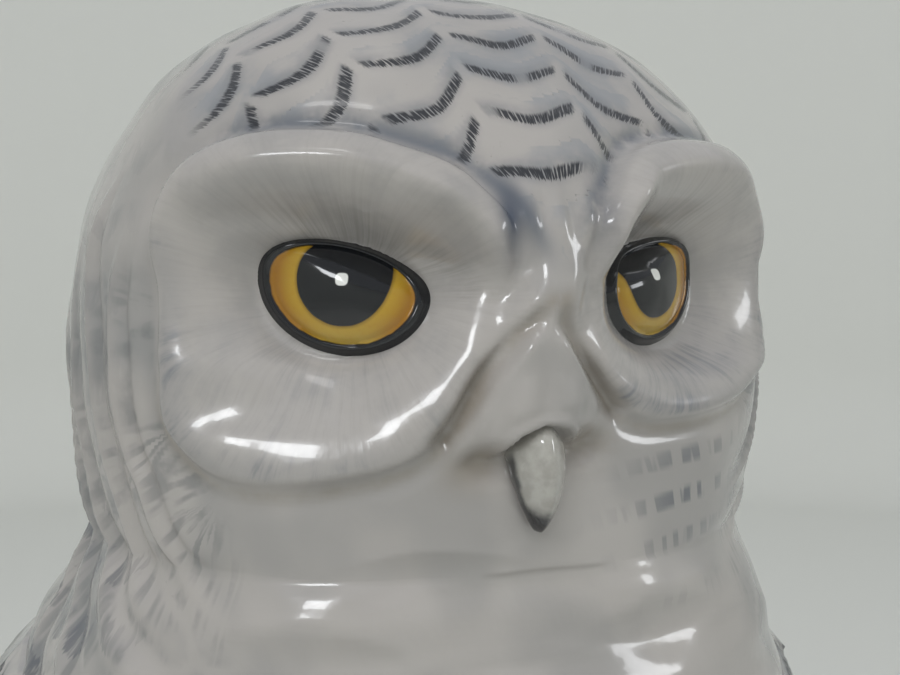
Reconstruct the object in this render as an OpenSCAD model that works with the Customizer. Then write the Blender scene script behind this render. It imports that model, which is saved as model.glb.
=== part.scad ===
// Snowy owl figurine: slip-cast, glazed ceramic.
// The castings are stuck together with slip before firing, so each one is its own solid that
// butts against its neighbours. The owl faces -Y and the underside of the base is at z = 0.

/* [Figure] */
// Height from the resting plane to the crown
figure_h = 168; // [146:1:204]
// Wall of the slip-cast shells
wall = 4; // [3:0.5:5]
// Diameter of the vent holes that let air out of the closed shells in the kiln
vent_d = 3.6; // [2.4:0.2:6]

/* [Head] */
// Width of the head across the cheeks
head_w = 64; // [52:1:78]
// Depth of the head from face to nape
head_d = 59; // [50:1:74]
// Height of the crown above the head's centre
crown_h = 32; // [26:1:40]
// Drop from the head's centre to the joint where head and body are stuck together
neck_drop = 16; // [12:0.5:20]
// How far the head's centre stands in front of the figure's axis
head_forward = 3; // [0:0.5:6]
// Height of the facial discs above the plain skull
disc_relief = 1.4; // [0.5:0.1:2.5]
// Height of the brow ridges above the facial discs
brow_relief = 2.2; // [0.5:0.1:3.5]
// Depth of the hollow round each eye
eye_hollow = 4.4; // [2:0.2:5.4]

/* [Eyes and beak] */
// Diameter of an eyeball where it enters its socket
eye_w = 12.6; // [10.6:0.2:14]
// Height of an eye's dome above the edge of its socket
eye_dome = 2.6; // [1.4:0.1:3.6]
// Depth of the flat-bottomed socket that each eyeball is pressed into
eye_seat = 2; // [1:0.1:2.4]
// Room for wet slip round each eyeball
slip_gap = 0.1; // [0.05:0.05:0.3]
// Angle of each eye from the face's midline
eye_azimuth = 30; // [26:1:34]
// Angle of each eye above the head's centre
eye_elevation = 14; // [10:1:17]
// Length of the beak from root to tip
beak_l = 8.5; // [7:0.5:12]
// Width of the beak at its root
beak_w = 4.8; // [4:0.2:7]

/* [Body] */
// Width of the body at its fullest
body_w = 86; // [72:1:98]
// Depth of the body at its fullest
body_d = 76; // [64:1:88]
// Width of the body where it stands on the base
seat_w = 56; // [44:1:64]

/* [Wings and tail] */
// Thickness of a folded wing on the flank
wing_t = 3.6; // [2.5:0.1:5]
// Height of the wing tips above the base
wing_tip_h = 15; // [10:1:24]
// Gap between the two wing tips, over the tail
wing_tip_gap = 5; // [3:1:12]
// Gap between the two shoulders, where the back shows between the wings
wing_top_gap = 30; // [20:1:40]
// Width of the tail at its tip
tail_w = 36; // [28:1:44]
// Thickness of the tail fan
tail_t = 6; // [4:0.5:8]

/* [Feet] */
// Length of a foot from heel to toe tip
foot_l = 25; // [20:1:29]
// Radius of a feathered toe
toe_r = 4.2; // [3.4:0.1:5]
// Distance between the middles of the two feet
foot_spread = 27; // [25:1:34]
// Length of a talon outside its toe
talon_l = 5.5; // [4:0.5:8]

/* [Base] */
// Width of the rock base
base_w = 90; // [82:1:106]
// Depth of the rock base, front to back
base_d = 104; // [96:1:120]
// Height of the rock base
base_h = 17; // [14:1:24]

/* [Hidden] */

porcelain = [0.86, 0.85, 0.82];
feather_grey = [0.74, 0.76, 0.79];
rock_grey = [0.52, 0.54, 0.55];
talon_black = [0.07, 0.07, 0.08];
iris_yellow = [0.85, 0.58, 0.08];
horn_grey = [0.62, 0.62, 0.6];

around = 48;              // sides of every lofted ring
head_rows = 26;           // rings of the head from pole to pole
head_z = figure_h - crown_h;
neck_z = head_z - neck_drop;
seat_z = base_h;          // the body stands on top of the base
jaw_h = 43;               // the lower skull is an ellipsoid this tall, so the neck stays nearly straight
skull_power = 2.3;        // a little fuller than an ellipsoid
root_depth = 4;           // how far a stuck-on piece reaches into its neighbour before that is cut away
shell_floor = wall + 1;   // the body's floor is a little thicker than its wall
bevel = 5;                // how far the bottom edge of the body's inside slopes in
socket_wall = 2;          // extra thickness of the head's wall, behind the eye sockets
past = 1;                 // how far a cut reaches past the face it opens

// ---- helper functions ----
function smooth(t) = let (c = min(1, max(0, t))) c * c * (3 - 2 * c);
function hump(a, e, a0, e0, aw, ew) = exp(-pow((a - a0) / aw, 2) - pow((e - e0) / ew, 2));
function toward(az, el) = [-sin(az) * cos(el), -cos(az) * cos(el), sin(el)];
function share(v, half) = pow(abs(v) / half, skull_power);
function flat(list) = [for (a = list) for (b = a) b];

// Catmull-Rom through the rows of a station table, so a few stations give a smooth outline
function between(rows, i, t) = let (
    last = len(rows) - 1,
    a = rows[max(0, i - 1)], b = rows[i], c = rows[min(last, i + 1)], d = rows[min(last, i + 2)]
) 0.5 * (2 * b + (c - a) * t + (2 * a - 5 * b + 4 * c - d) * t * t + (3 * b - a - 3 * c + d) * t * t * t);
function refine(rows, steps) = concat(
    [for (i = [0 : len(rows) - 2]) for (k = [0 : steps - 1]) between(rows, i, k / steps)],
    [rows[len(rows) - 1]]
);

// ---- lofts ----
// Faces between neighbouring rings of n points each; up = false turns them inside out
function sides(rings, n, first, up) = [
    for (r = [0 : rings - 2]) for (i = [0 : n - 1]) let (
        j = (i + 1) % n,
        a = first + r * n + i, b = first + r * n + j, c = a + n, d = b + n
    ) each up ? [[a, c, b], [b, c, d]] : [[a, b, c], [b, d, c]]
];
function cap(n, first, up) = [up ? [for (i = [n - 1 : -1 : 0]) first + i] : [for (i = [0 : n - 1]) first + i]];

// A closed solid through a list of rings, from the lowest ring to the highest
module loft(rings) {
    n = len(rings[0]);
    polyhedron(
        points = flat(rings),
        faces = concat(cap(n, 0, false), sides(len(rings), n, 0, true), cap(n, (len(rings) - 1) * n, true))
    );
}

// ---- body ----
// Stations from the seat to the neck: height share, width share, depth share, shift towards the back
body_stations = [
    [0.00, 0, 0, 3],
    [0.12, 0.86, 0.83, 3],
    [0.30, 0.98, 0.97, 2],
    [0.48, 1.00, 1.00, 1],
    [0.68, 0.97, 0.97, 0],
    [0.86, 0.86, 0.87, -1.5],
    [1.00, 0, 0, -head_forward]
];
neck_half = [head_w / 2 * pow(1 - pow(neck_drop / jaw_h, skull_power), 1 / skull_power),
             head_d / 2 * pow(1 - pow(neck_drop / jaw_h, skull_power), 1 / skull_power)];
seat_d = seat_w * 0.86;

// One refined row: height, half width, half depth, shift
function body_row(s) = [
    seat_z + s[0] * (neck_z - seat_z),
    s[0] == 0 ? seat_w / 2 : s[0] == 1 ? neck_half.x : s[1] * body_w / 2,
    s[0] == 0 ? seat_d / 2 : s[0] == 1 ? neck_half.y : s[2] * body_d / 2,
    s[3]
];
body_rows = refine([for (s = body_stations) body_row(s)], 3);
function oval(z, half_w, half_d, shift) = [
    for (i = [0 : around - 1]) let (a = 360 * i / around) [half_w * cos(a), shift + half_d * sin(a), z]
];
function body_rings(grow) = [for (r = body_rows) oval(r[0], r[1] + grow, r[2] + grow, r[3])];

module body_form(grow = 0) {
    loft(body_rings(grow));
}

module body_cavity() {
    rows = [for (r = body_rows) if (r[0] > seat_z + shell_floor) r];
    first = rows[0];
    top = rows[len(rows) - 1];
    inset = wall + bevel;
    loft(concat(
        [oval(seat_z + shell_floor, first[1] - inset, first[2] - inset, first[3])],
        [for (r = rows) oval(r[0], r[1] - wall, r[2] - wall, r[3])],
        [oval(top[0] + past, top[1] - wall, top[2] - wall, top[3])]
    ));
}

module vent() {
    translate([0, 0, seat_z - 2 * wall]) cylinder(d = vent_d, h = 4 * wall, $fn = 48);
}

module body_casting() {
    color(porcelain) difference() {
        body_form();
        body_cavity();
        vent();
    }
}

// ---- head ----
function skull(d) = pow(
    share(d.x, head_w / 2) + share(d.y, head_d / 2) + share(d.z, d.z > 0 ? crown_h : jaw_h), -1 / skull_power);

// Outline of one facial disc as a rounded oval in angles: under 1 inside it, over 1 outside
disc_middle = [31, 9];
disc_reach = [29, 27];
bridge_rise = 2.2;        // height of the bridge that runs down between the eyes
function disc_edge(a, e) = pow(
    pow(abs(a - disc_middle[0]) / disc_reach[0], 2.6) + pow(abs(e - disc_middle[1]) / disc_reach[1], 2.6), 1 / 2.6);

// Relief of the face over the skull at an angle from the midline and an elevation
function relief(az, el) = let (a = abs(az), edge = disc_edge(a, el))
    disc_relief * smooth((1.12 - edge) / 0.2)
    + brow_relief * exp(-pow((edge - 0.82) / 0.16, 2)) * smooth((el - 12) / 14)
    - eye_hollow * hump(a, el, eye_azimuth, eye_elevation, 15, 12)
    + bridge_rise * hump(a, el, 0, 6, 8, 16);

function head_point(az, el) = let (d = toward(az, el))
    [0, -head_forward, head_z] + d * (skull(d) + relief(az, el));

module head_form() {
    step = 180 / head_rows;
    loft([for (k = [0 : head_rows]) let (el = min(89.5, max(-89.5, -90 + k * step)))
        [for (i = [0 : around - 1]) head_point(180 - 360 * i / around, el)]]);
}

module head_cavity() {
    throat = min(neck_half.x, neck_half.y) - wall - socket_wall;
    radius = min(head_w, head_d) / 2 - wall - socket_wall;
    translate([0, -head_forward, head_z]) sphere(r = radius, $fn = 64);
    translate([0, -head_forward, neck_z - past]) cylinder(r = throat, h = neck_drop + past, $fn = 64);
}

module below_neck() {
    reach = head_w + head_d;
    translate([-reach / 2, -reach / 2 - head_forward, neck_z - reach]) cube(reach);
}

module head_casting() {
    color(porcelain) difference() {
        head_form();
        below_neck();
        head_cavity();
        eye_socket(-1);
        eye_socket(1);
    }
}

// ---- eyes and beak ----
dome_r = (pow(eye_w / 2, 2) + pow(eye_dome, 2)) / (2 * eye_dome);

// Puts its children on the face, with their +Z pointing straight out of the head's centre
module on_face(az, el) {
    translate(head_point(az, el)) rotate([0, 0, -az]) rotate([90 - el, 0, 0]) children();
}

module eye_socket(side) {
    on_face(side * eye_azimuth, eye_elevation) translate([0, 0, -eye_seat])
        cylinder(d = eye_w + 2 * slip_gap, h = eye_seat + eye_dome + brow_relief, $fn = 64);
}

module eye(side) {
    color(iris_yellow) on_face(side * eye_azimuth, eye_elevation) intersection() {
        translate([0, 0, -eye_seat]) cylinder(d = eye_w, h = eye_seat + eye_dome + 1, $fn = 64);
        translate([0, 0, eye_dome - dome_r]) sphere(r = dome_r, $fn = 64);
    }
}

beak_sides = 16;
beak_steps = 8;
beak_root_el = -8;        // the root sits just under the bulge between the eyes
beak_start = 50;          // the root leaves the face pointing this far below level
beak_turn = 50;           // and the tip has turned down by this much more
beak_fullness = 0.62;     // how late the beak narrows towards its tip
beak_tip = 0.05;          // the tip's share of the root's width, so that it is blunt

// The beak's middle line is an arc that turns down from root to tip
function beak_angle(t) = beak_start + beak_turn * t;
function beak_line(t) = let (radius = beak_l / (beak_turn * PI / 180))
    [0, radius * (sin(beak_start) - sin(beak_angle(t))), radius * (cos(beak_angle(t)) - cos(beak_start))];
function beak_ring(t) = let (half = beak_w / 2 * (pow(1 - t, beak_fullness) + beak_tip))
    [for (i = [0 : beak_sides - 1]) let (a = 360 * i / beak_sides)
        beak_line(t) + half * [cos(a), -sin(a) * sin(beak_angle(t)), sin(a) * cos(beak_angle(t))]];

module beak_form() {
    translate(head_point(0, beak_root_el) + [0, root_depth / 2, 0])
        loft([for (k = [0 : beak_steps]) beak_ring(k / beak_steps)]);
}

module beak() {
    color(horn_grey) difference() {
        beak_form();
        head_form();
        body_form();
    }
}

// ---- wings ----
// Side outline of the folded wing in the plane of depth and height, from the shoulder to the tip
shoulder_z = seat_z + 0.9 * (neck_z - seat_z);
tip_z = base_h + wing_tip_h;
wing_slant = 8;           // how much lower a wing's outline is at its tip than behind the body
wing_front = [
    [-0.10, 1.00], [-0.30, 0.93], [-0.40, 0.80], [-0.38, 0.62], [-0.25, 0.42], [0.05, 0.20], [0.45, 0.03]
];
wing_edge = refine([for (p = wing_front) [p[0] * body_d / 2, tip_z + p[1] * (shoulder_z - tip_z)]], 4);
wing_outline = concat(
    wing_edge,
    [[0.31 * body_d, tip_z], [body_d, tip_z + wing_slant], [body_d, shoulder_z - wing_slant / 2],
     [0.1 * body_d, shoulder_z]]
);

// Front outline of the same wing: its inner edge slants from the shoulder in to the tip
inner_edge = [
    [wing_tip_gap / 2, tip_z], [body_w, tip_z], [body_w, shoulder_z], [wing_top_gap / 2, shoulder_z]
];

module wing_outlines(side) {
    intersection() {
        translate([side > 0 ? 0 : -body_w, 0, 0]) rotate([90, 0, 90])
            linear_extrude(height = body_w) polygon(wing_outline);
        mirror([side > 0 ? 0 : 1, 0, 0]) rotate([90, 0, 0]) translate([0, 0, -body_d])
            linear_extrude(height = 2 * body_d) polygon(inner_edge);
    }
}

module wing(side) {
    color(feather_grey) difference() {
        intersection() {
            body_form(wing_t);
            wing_outlines(side);
        }
        body_form();
    }
}

// ---- tail ----
tail_root_z = seat_z + 0.36 * (neck_z - seat_z);
tail_tip_y = base_d / 2 - 3;
tail_foot_gap = 1.2;      // room under the tail's tip

module tail_form() {
    root_y = body_d / 2 - root_depth - tail_t / 2;
    run = tail_tip_y - root_y - tail_t;
    drop = tail_root_z - seat_z - tail_foot_gap;
    lean = atan2(run, drop);
    length = sqrt(run * run + drop * drop);
    translate([0, root_y, tail_root_z]) rotate([90 + lean, 0, 0]) translate([0, 0, -tail_t / 2])
        linear_extrude(height = tail_t) polygon(concat(
            [[tail_w * 0.34, 0]],
            [for (k = [0 : 8]) let (a = 90 - 180 * k / 8)
                [tail_w / 2 * sin(a), -length + tail_w * 0.16 * (1 - cos(a))]],
            [[-tail_w * 0.34, 0]]
        ));
}

module above_base() {
    translate([-base_w / 2, -base_d / 2, base_h + 0.001]) cube([base_w, base_d, figure_h]);
}

// The tail comes out from under the body and from under both wing tips
module tail() {
    color(feather_grey) difference() {
        intersection() {
            tail_form();
            above_base();
        }
        body_form();
        intersection() {
            body_form(wing_t);
            union() for (side = [-1, 1]) wing_outlines(side);
        }
    }
}

// ---- feet ----
toe_angles = [-24, 0, 24];
talon_root = 2;           // how far a talon starts inside its toe
heel_y = -(seat_d / 2) + 6;
toe_reach = foot_l - 2 * toe_r - 2;

module toe(turn) {
    hull() {
        translate([0, 0, base_h + toe_r]) sphere(r = toe_r * 1.1, $fn = 20);
        rotate(turn) translate([0, -toe_reach, base_h + toe_r * 0.7]) sphere(r = toe_r, $fn = 20);
    }
}

module foot_form(side) {
    translate([side * foot_spread / 2, heel_y, 0]) for (turn = toe_angles) toe(turn);
}

module below_base_top() {
    translate([-base_w / 2, -base_d / 2, 0]) cube([base_w, base_d, base_h]);
}

module foot(side) {
    color(porcelain) difference() {
        foot_form(side);
        body_form();
        below_base_top();
    }
}

module talon(side, turn) {
    translate([side * foot_spread / 2, heel_y, base_h + toe_r * 0.9]) rotate(turn)
        translate([0, -toe_reach - toe_r + talon_root, 0]) rotate([112, 0, 0])
            cylinder(r1 = toe_r * 0.42, r2 = 0.5, h = talon_l + talon_root, $fn = 32);
}

module talons(side) {
    color(talon_black) difference() {
        union() for (turn = toe_angles) talon(side, turn);
        foot_form(side);
        below_base_top();
    }
}

// ---- base ----
// Rings of the rock from the resting rim to the flat top: height share, outline share
rock_rows = [[0, 1], [0.3, 1], [0.75, 0.96], [1, 0.88]];
function rock_ring(z, outline) = [
    for (i = [0 : around - 1]) let (
        a = 360 * i / around,
        lump = 1 - 0.018 * (1 + sin(5 * a + 40)) - 0.012 * (1 + cos(8 * a))
    ) [base_w / 2 * outline * lump * cos(a), base_d / 2 * outline * (lump + (1 - lump) * abs(sin(a))) * sin(a), z]
];

module rock_base() {
    rim = 2 * wall + 2;
    color(rock_grey) difference() {
        loft([for (r = rock_rows) rock_ring(r[0] * base_h, r[1])]);
        translate([0, 0, -past]) linear_extrude(height = base_h - wall + past)
            polygon([for (i = [0 : around - 1]) let (a = 360 * i / around)
                [(base_w / 2 - rim) * cos(a), (base_d / 2 - rim) * sin(a)]]);
        vent();
    }
}

rock_base();
body_casting();
head_casting();
wing(1);  // left_wing
wing(-1);  // right_wing
tail();
foot(1);  // left_foot
foot(-1);  // right_foot
talons(1);  // left_talons
talons(-1);  // right_talons
beak();
eye(-1);  // left_eye
eye(1);  // right_eye
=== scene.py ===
# %% [markdown]
# # A glazed ceramic snowy owl
# The real owl is slip-cast: liquid clay is poured into plaster moulds, and the head, body, wings,
# tail and base come out as separate shells that are stuck together with slip, painted by hand with
# blue-grey and black underglaze, and fired under a thick clear glaze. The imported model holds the
# plain solids. This script gives each of them its modelled feathers and its painted glaze.

# %% Load the plain castings
import math

import bmesh
import bpy
import numpy as np
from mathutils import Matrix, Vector


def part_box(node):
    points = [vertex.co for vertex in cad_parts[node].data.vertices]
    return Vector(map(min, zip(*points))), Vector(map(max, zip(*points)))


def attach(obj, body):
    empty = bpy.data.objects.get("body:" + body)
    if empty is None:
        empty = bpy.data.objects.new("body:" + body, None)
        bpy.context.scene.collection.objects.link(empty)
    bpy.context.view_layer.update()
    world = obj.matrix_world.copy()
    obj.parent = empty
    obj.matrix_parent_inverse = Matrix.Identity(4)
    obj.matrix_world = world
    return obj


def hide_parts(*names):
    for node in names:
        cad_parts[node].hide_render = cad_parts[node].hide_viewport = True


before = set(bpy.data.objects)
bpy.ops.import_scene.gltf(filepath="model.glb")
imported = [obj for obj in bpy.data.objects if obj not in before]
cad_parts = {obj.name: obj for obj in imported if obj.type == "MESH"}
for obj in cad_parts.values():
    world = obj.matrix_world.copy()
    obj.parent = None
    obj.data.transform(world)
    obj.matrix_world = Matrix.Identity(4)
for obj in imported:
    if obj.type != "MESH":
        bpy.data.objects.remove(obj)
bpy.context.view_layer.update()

MM = 0.001
print("castings:", ", ".join(sorted(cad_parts)))

# %% [markdown]
# ## Measuring from the castings
# Every place on the owl is worked out from the boxes of the plain castings, in millimetres, so the
# fine pieces land exactly where the plain ones are. The skull is nearly a ball, so its middle is one
# half-width below the crown, and the face is sculpted in angles round that middle.


# %% Named places
def span(node):
    """Lowest and highest corner of a casting, in millimetres."""
    low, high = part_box(node)
    return np.array(low) / MM, np.array(high) / MM


head_low, head_high = span("head_casting")
body_low, body_high = span("body_casting")
base_high = span("rock_base")[1]
wing_low, wing_high = span("left_wing")
tail_low, tail_high = span("tail")
foot_low, foot_high = span("left_foot")

HEAD_R = (head_high[0] - head_low[0]) / 2
HEAD_D = 0.922 * HEAD_R
HEAD_MID = np.array([0, head_high[1] - HEAD_D, head_high[2] - HEAD_R])
NECK_Z = head_low[2]
SEAT_Z = body_low[2]
BODY_HALF_W = body_high[0]
BODY_HALF_D = (body_high[1] - body_low[1]) / 2
print("head radius", round(HEAD_R, 1), "mm, middle of the head at", np.round(HEAD_MID, 1))

# %% [markdown]
# ## The camera
# A portrait from very near, slightly above the eyes and round to the owl's right. The lens stands
# four head-radii from the middle of the head, which is what makes the near cheek so large.

# %% Place the camera
CAMERA_AZIMUTH = math.radians(-18.5)
CAMERA_LIFT = math.radians(5)
CAMERA_AWAY = 4 * HEAD_R
LOOK_ASIDE = 3.6                       # the head sits a little left of the middle of the frame

back = np.array([math.sin(CAMERA_AZIMUTH) * math.cos(CAMERA_LIFT),
                 -math.cos(CAMERA_AZIMUTH) * math.cos(CAMERA_LIFT), math.sin(CAMERA_LIFT)])
aside = np.array([math.cos(CAMERA_AZIMUTH), math.sin(CAMERA_AZIMUTH), 0])
eye_point = Vector((HEAD_MID + back * CAMERA_AWAY) * MM)
aim_point = Vector((HEAD_MID + aside * LOOK_ASIDE) * MM)

camera = bpy.data.objects.new("camera", bpy.data.cameras.new("camera"))
bpy.context.collection.objects.link(camera)
camera.location = eye_point
camera.rotation_euler = (aim_point - eye_point).to_track_quat("-Z", "Y").to_euler()
camera.data.sensor_width = 36
camera.data.lens = 52.5
camera.data.clip_start = 0.005
bpy.context.scene.camera = camera

# %% [markdown]
# ## Shader arithmetic
# Paint on a glazed surface is layers of masks: where a stroke is, how wet it was, where the wash
# pooled. Masks are easier to read as sums than as a web of nodes, so `Num` wraps a socket and turns
# Python's operators into Math nodes, and `Finish` holds one material and adds any other node.


# %% A number that builds nodes
class Num:
    """A socket in a material, which adds Math nodes when it is used in an expression."""

    def __init__(self, finish, socket):
        self.finish, self.socket = finish, socket

    def _math(self, operation, *values):
        return self.finish.node("ShaderNodeMath", values, operation=operation)

    def __add__(self, other):
        return self._math("ADD", self, other)

    def __radd__(self, other):
        return self._math("ADD", other, self)

    def __sub__(self, other):
        return self._math("SUBTRACT", self, other)

    def __rsub__(self, other):
        return self._math("SUBTRACT", other, self)

    def __mul__(self, other):
        return self._math("MULTIPLY", self, other)

    def __rmul__(self, other):
        return self._math("MULTIPLY", other, self)

    def __pow__(self, other):
        return self._math("POWER", self, other)

    def __abs__(self):
        return self._math("ABSOLUTE", self)


# %% A finish: one material and its nodes
class Finish:
    """One glaze. node() adds a node, and the named helpers are the few that every glaze uses."""

    def __init__(self, name, roughness=0.16, coat=0.6):
        self.material = bpy.data.materials.new(name)
        self.material.use_nodes = True
        self.tree = self.material.node_tree
        self.shader = self.tree.nodes["Principled BSDF"]
        self.shader.inputs["Roughness"].default_value = roughness
        self.shader.inputs["IOR"].default_value = 1.5
        self.shader.inputs["Coat Weight"].default_value = coat
        self.shader.inputs["Coat Roughness"].default_value = 0.04
        self.shader.inputs["Coat IOR"].default_value = 1.5

    def node(self, kind, inputs=(), out=0, **settings):
        made = self.tree.nodes.new(kind)
        for key, value in settings.items():
            setattr(made, key, value)
        pairs = inputs.items() if isinstance(inputs, dict) else enumerate(inputs)
        for key, value in pairs:
            socket = made.inputs[key]
            if isinstance(value, Num):
                self.tree.links.new(value.socket, socket)
            else:
                socket.default_value = value
        return Num(self, made.outputs[out])

    def place(self):
        """Where a point is on its piece, in metres: every object sits at the origin."""
        return self.node("ShaderNodeTexCoord", out="Object")

    def parts(self, vector):
        """The three numbers of a vector."""
        return [self.node("ShaderNodeSeparateXYZ", [vector], out=k) for k in range(3)]

    def fields(self, name):
        """Three numbers that were stored on the mesh when it was modelled."""
        return self.parts(self.node("ShaderNodeAttribute", out="Vector", attribute_name=name))

    def vector(self, x, y, z=0.0):
        return self.node("ShaderNodeCombineXYZ", [x, y, z])

    def grain(self, vector, scale, detail=2.0, rough=0.5):
        """Soft noise from 0 to 1, mostly near 0.5."""
        return self.node("ShaderNodeTexNoise", {"Vector": vector, "Scale": scale, "Detail": detail,
                                                "Roughness": rough})

    def step(self, value, low, high):
        """0 below low, 1 above high, and a soft edge between."""
        return self.node("ShaderNodeMapRange", [value, low, high, 0.0, 1.0],
                         interpolation_type="SMOOTHSTEP")

    def blend(self, mask, under, over):
        """under where the mask is 0, over where it is 1. Both are colours."""
        return self.node("ShaderNodeMix", {0: mask, 6: under, 7: over}, out=2, data_type="RGBA")

    def colour(self, value):
        self.tree.links.new(value.socket, self.shader.inputs["Base Color"])

    def roughness(self, value):
        self.tree.links.new(value.socket, self.shader.inputs["Roughness"])

    def bump(self, height, depth, strength=1.0):
        normal = self.node("ShaderNodeBump", {"Height": height, "Distance": depth * MM, "Strength": strength})
        self.tree.links.new(normal.socket, self.shader.inputs["Normal"])


# %% [markdown]
# ## Sculpting by number
# A potter's modeller adds pellets of clay and tools grooves into a smooth form. Here the smooth form
# is a spun shape, and each pellet or groove is a height that is added along the surface's normal. A
# ridge that follows a line needs only the distance from each point to that line.


# %% Helpers for heights
def soft(t):
    """0 to 1 with flat ends."""
    t = np.clip(t, 0, 1)
    return t * t * (3 - 2 * t)


def bell(t):
    return np.exp(-t * t)


def curve(points, steps=10, closed=False):
    """A smooth line through a few points."""
    p = np.array(points, float)
    n = len(p)
    out = []
    for i in range(n if closed else n - 1):
        near = [(i + k) % n if closed else min(max(i + k, 0), n - 1) for k in (-1, 0, 1, 2)]
        a, b, c, d = p[near]
        for t in np.arange(steps) / steps:
            out.append(0.5 * (2 * b + (c - a) * t + (2 * a - 5 * b + 4 * c - d) * t * t
                              + (3 * b - a - 3 * c + d) * t ** 3))
    if not closed:
        out.append(p[-1])
    return np.array(out)


def to_line(x, y, line, closed=False):
    """Distance from each point to the line, and how far along the line the nearest place is, 0 to 1."""
    best = np.full(x.shape, 1e9)
    along = np.zeros(x.shape)
    ends = np.roll(line, -1, axis=0) if closed else line[1:]
    starts = line if closed else line[:-1]
    for k, (a, b) in enumerate(zip(starts, ends)):
        run = b - a
        length = max(run @ run, 1e-9)
        t = np.clip(((x - a[0]) * run[0] + (y - a[1]) * run[1]) / length, 0, 1)
        gap = np.hypot(x - a[0] - t * run[0], y - a[1] - t * run[1])
        nearer = gap < best
        best = np.where(nearer, gap, best)
        along = np.where(nearer, (k + t) / len(starts), along)
    return best, along


def inside(x, y, outline):
    """True within a closed outline, by counting the edges to the right of each point."""
    hit = np.zeros(x.shape, bool)
    for a, b in zip(outline, np.roll(outline, -1, axis=0)):
        crosses = (a[1] > y) != (b[1] > y)
        rise = b[1] - a[1]
        at = a[0] + (y - a[1]) * (b[0] - a[0]) / (rise if abs(rise) > 1e-9 else 1e-9)
        hit ^= crosses & (x < at)
    return hit


def rough_wave(points, size, seed=0, waves=20):
    """Smooth noise from about -1 to 1 at each point, with lumps of this size: many plane waves added up."""
    dice = np.random.default_rng(seed)
    total = np.zeros(len(points))
    for _ in range(waves):
        way = dice.normal(size=3)
        way *= math.tau / (size * dice.uniform(1.3, 3.2)) / np.linalg.norm(way)
        total += np.sin(points @ way + dice.uniform(0, math.tau))
    return total / math.sqrt(waves)


# %% Helpers for pieces
def piece_from(bm, name, sharp=None):
    """Turns a bmesh in millimetres into a smooth-shaded piece in metres."""
    bmesh.ops.scale(bm, vec=(MM, MM, MM), verts=bm.verts)
    for face in bm.faces:
        face.smooth = True
    if sharp:
        for edge in bm.edges:
            edge.smooth = len(edge.link_faces) != 2 or edge.calc_face_angle(0) < sharp
    mesh = bpy.data.meshes.new(name)
    bm.to_mesh(mesh)
    bm.free()
    piece = bpy.data.objects.new(name, mesh)
    bpy.context.collection.objects.link(piece)
    return piece


def points_of(bm):
    return np.array([v.co for v in bm.verts])


def move_points(bm, points):
    for vert, point in zip(bm.verts, points):
        vert.co = point


def normals_of(bm):
    bm.normal_update()
    return np.array([v.normal for v in bm.verts])


def spun_row(row_points, steps):
    """Joins points into a line, and spins it round the upright axis."""
    bm = bmesh.new()
    row = [bm.verts.new(point) for point in row_points]
    for a, b in zip(row, row[1:]):
        bm.edges.new((a, b))
    bmesh.ops.spin(bm, geom=bm.verts[:] + bm.edges[:], cent=(0, 0, 0), axis=(0, 0, 1), angle=math.tau,
                   steps=steps, use_merge=True, use_duplicate=False)
    return bm


def double_sheet(across, down):
    """A flat grid extruded into two sheets, its points, and which of them are on the outer sheet."""
    bm = bmesh.new()
    bmesh.ops.create_grid(bm, x_segments=across, y_segments=down, size=1)
    sheet = bmesh.ops.extrude_face_region(bm, geom=bm.faces[:])["geom"]
    bm.verts.index_update()
    outer = np.zeros(len(bm.verts), bool)
    for item in sheet:
        if isinstance(item, bmesh.types.BMVert):
            outer[item.index] = True
    return bm, points_of(bm), outer


def round_ball(points):
    """How far down a ball each point is, 0 at the top pole to 1, and its way round as a cosine and a sine."""
    ring = np.hypot(points[:, 0], points[:, 1]) + 1e-9
    return np.arccos(np.clip(points[:, 2], -1, 1)) / math.pi, points[:, 0] / ring, points[:, 1] / ring


def store(piece, name, *columns):
    """Keeps up to three numbers for every point of a piece, for its finish to read."""
    values = np.zeros((len(piece.data.vertices), 3))
    for k, column in enumerate(columns):
        values[:, k] = column
    piece.data.attributes.new(name, "FLOAT_VECTOR", "POINT").data.foreach_set("vector", values.ravel())


def hand_in(piece, finish, slot, *nodes):
    """Gives a piece its glaze, hangs it under the root, and hides the castings that it stands for."""
    piece.data.materials.append(finish.material)
    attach(piece, "root")
    if nodes:
        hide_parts(*nodes)
    print(piece.name, len(piece.data.polygons), "faces")


# %% [markdown]
# ## The smooth form of the owl
# Head and body are one smooth form until the mould is cut. Its rings are ovals: the head's follow a
# slightly squared ball, and the body's follow a few stations from the neck to the seat. A spun row of
# points gives the rings and columns of faces, with more columns at the front, where the face is.

# %% The smooth form
SKULL_POWER = 2.3
JAW_H = 43.0                           # a tall lower half, so that the neck is nearly straight
COLUMNS = 420
CROWD_FRONT = 0.42                     # how strongly the columns crowd towards the face

# share of the height from seat to neck, share of half width, share of half depth, shift back
body_stations = [
    (0.00, 0.66, 0.64, 3.0), (0.05, 0.77, 0.74, 3.0), (0.12, 0.87, 0.84, 3.0), (0.30, 0.98, 0.97, 2.0),
    (0.48, 1.00, 1.00, 1.0), (0.68, 0.97, 0.97, 0.0), (0.86, 0.865, 0.87, -1.5),
]


def skull_share(height):
    """Share of the skull's half width at a height over the head's middle."""
    tall = np.where(height > 0, HEAD_R, JAW_H)
    return np.maximum(1 - (np.abs(height) / tall) ** SKULL_POWER, 0) ** (1 / SKULL_POWER)


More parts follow.
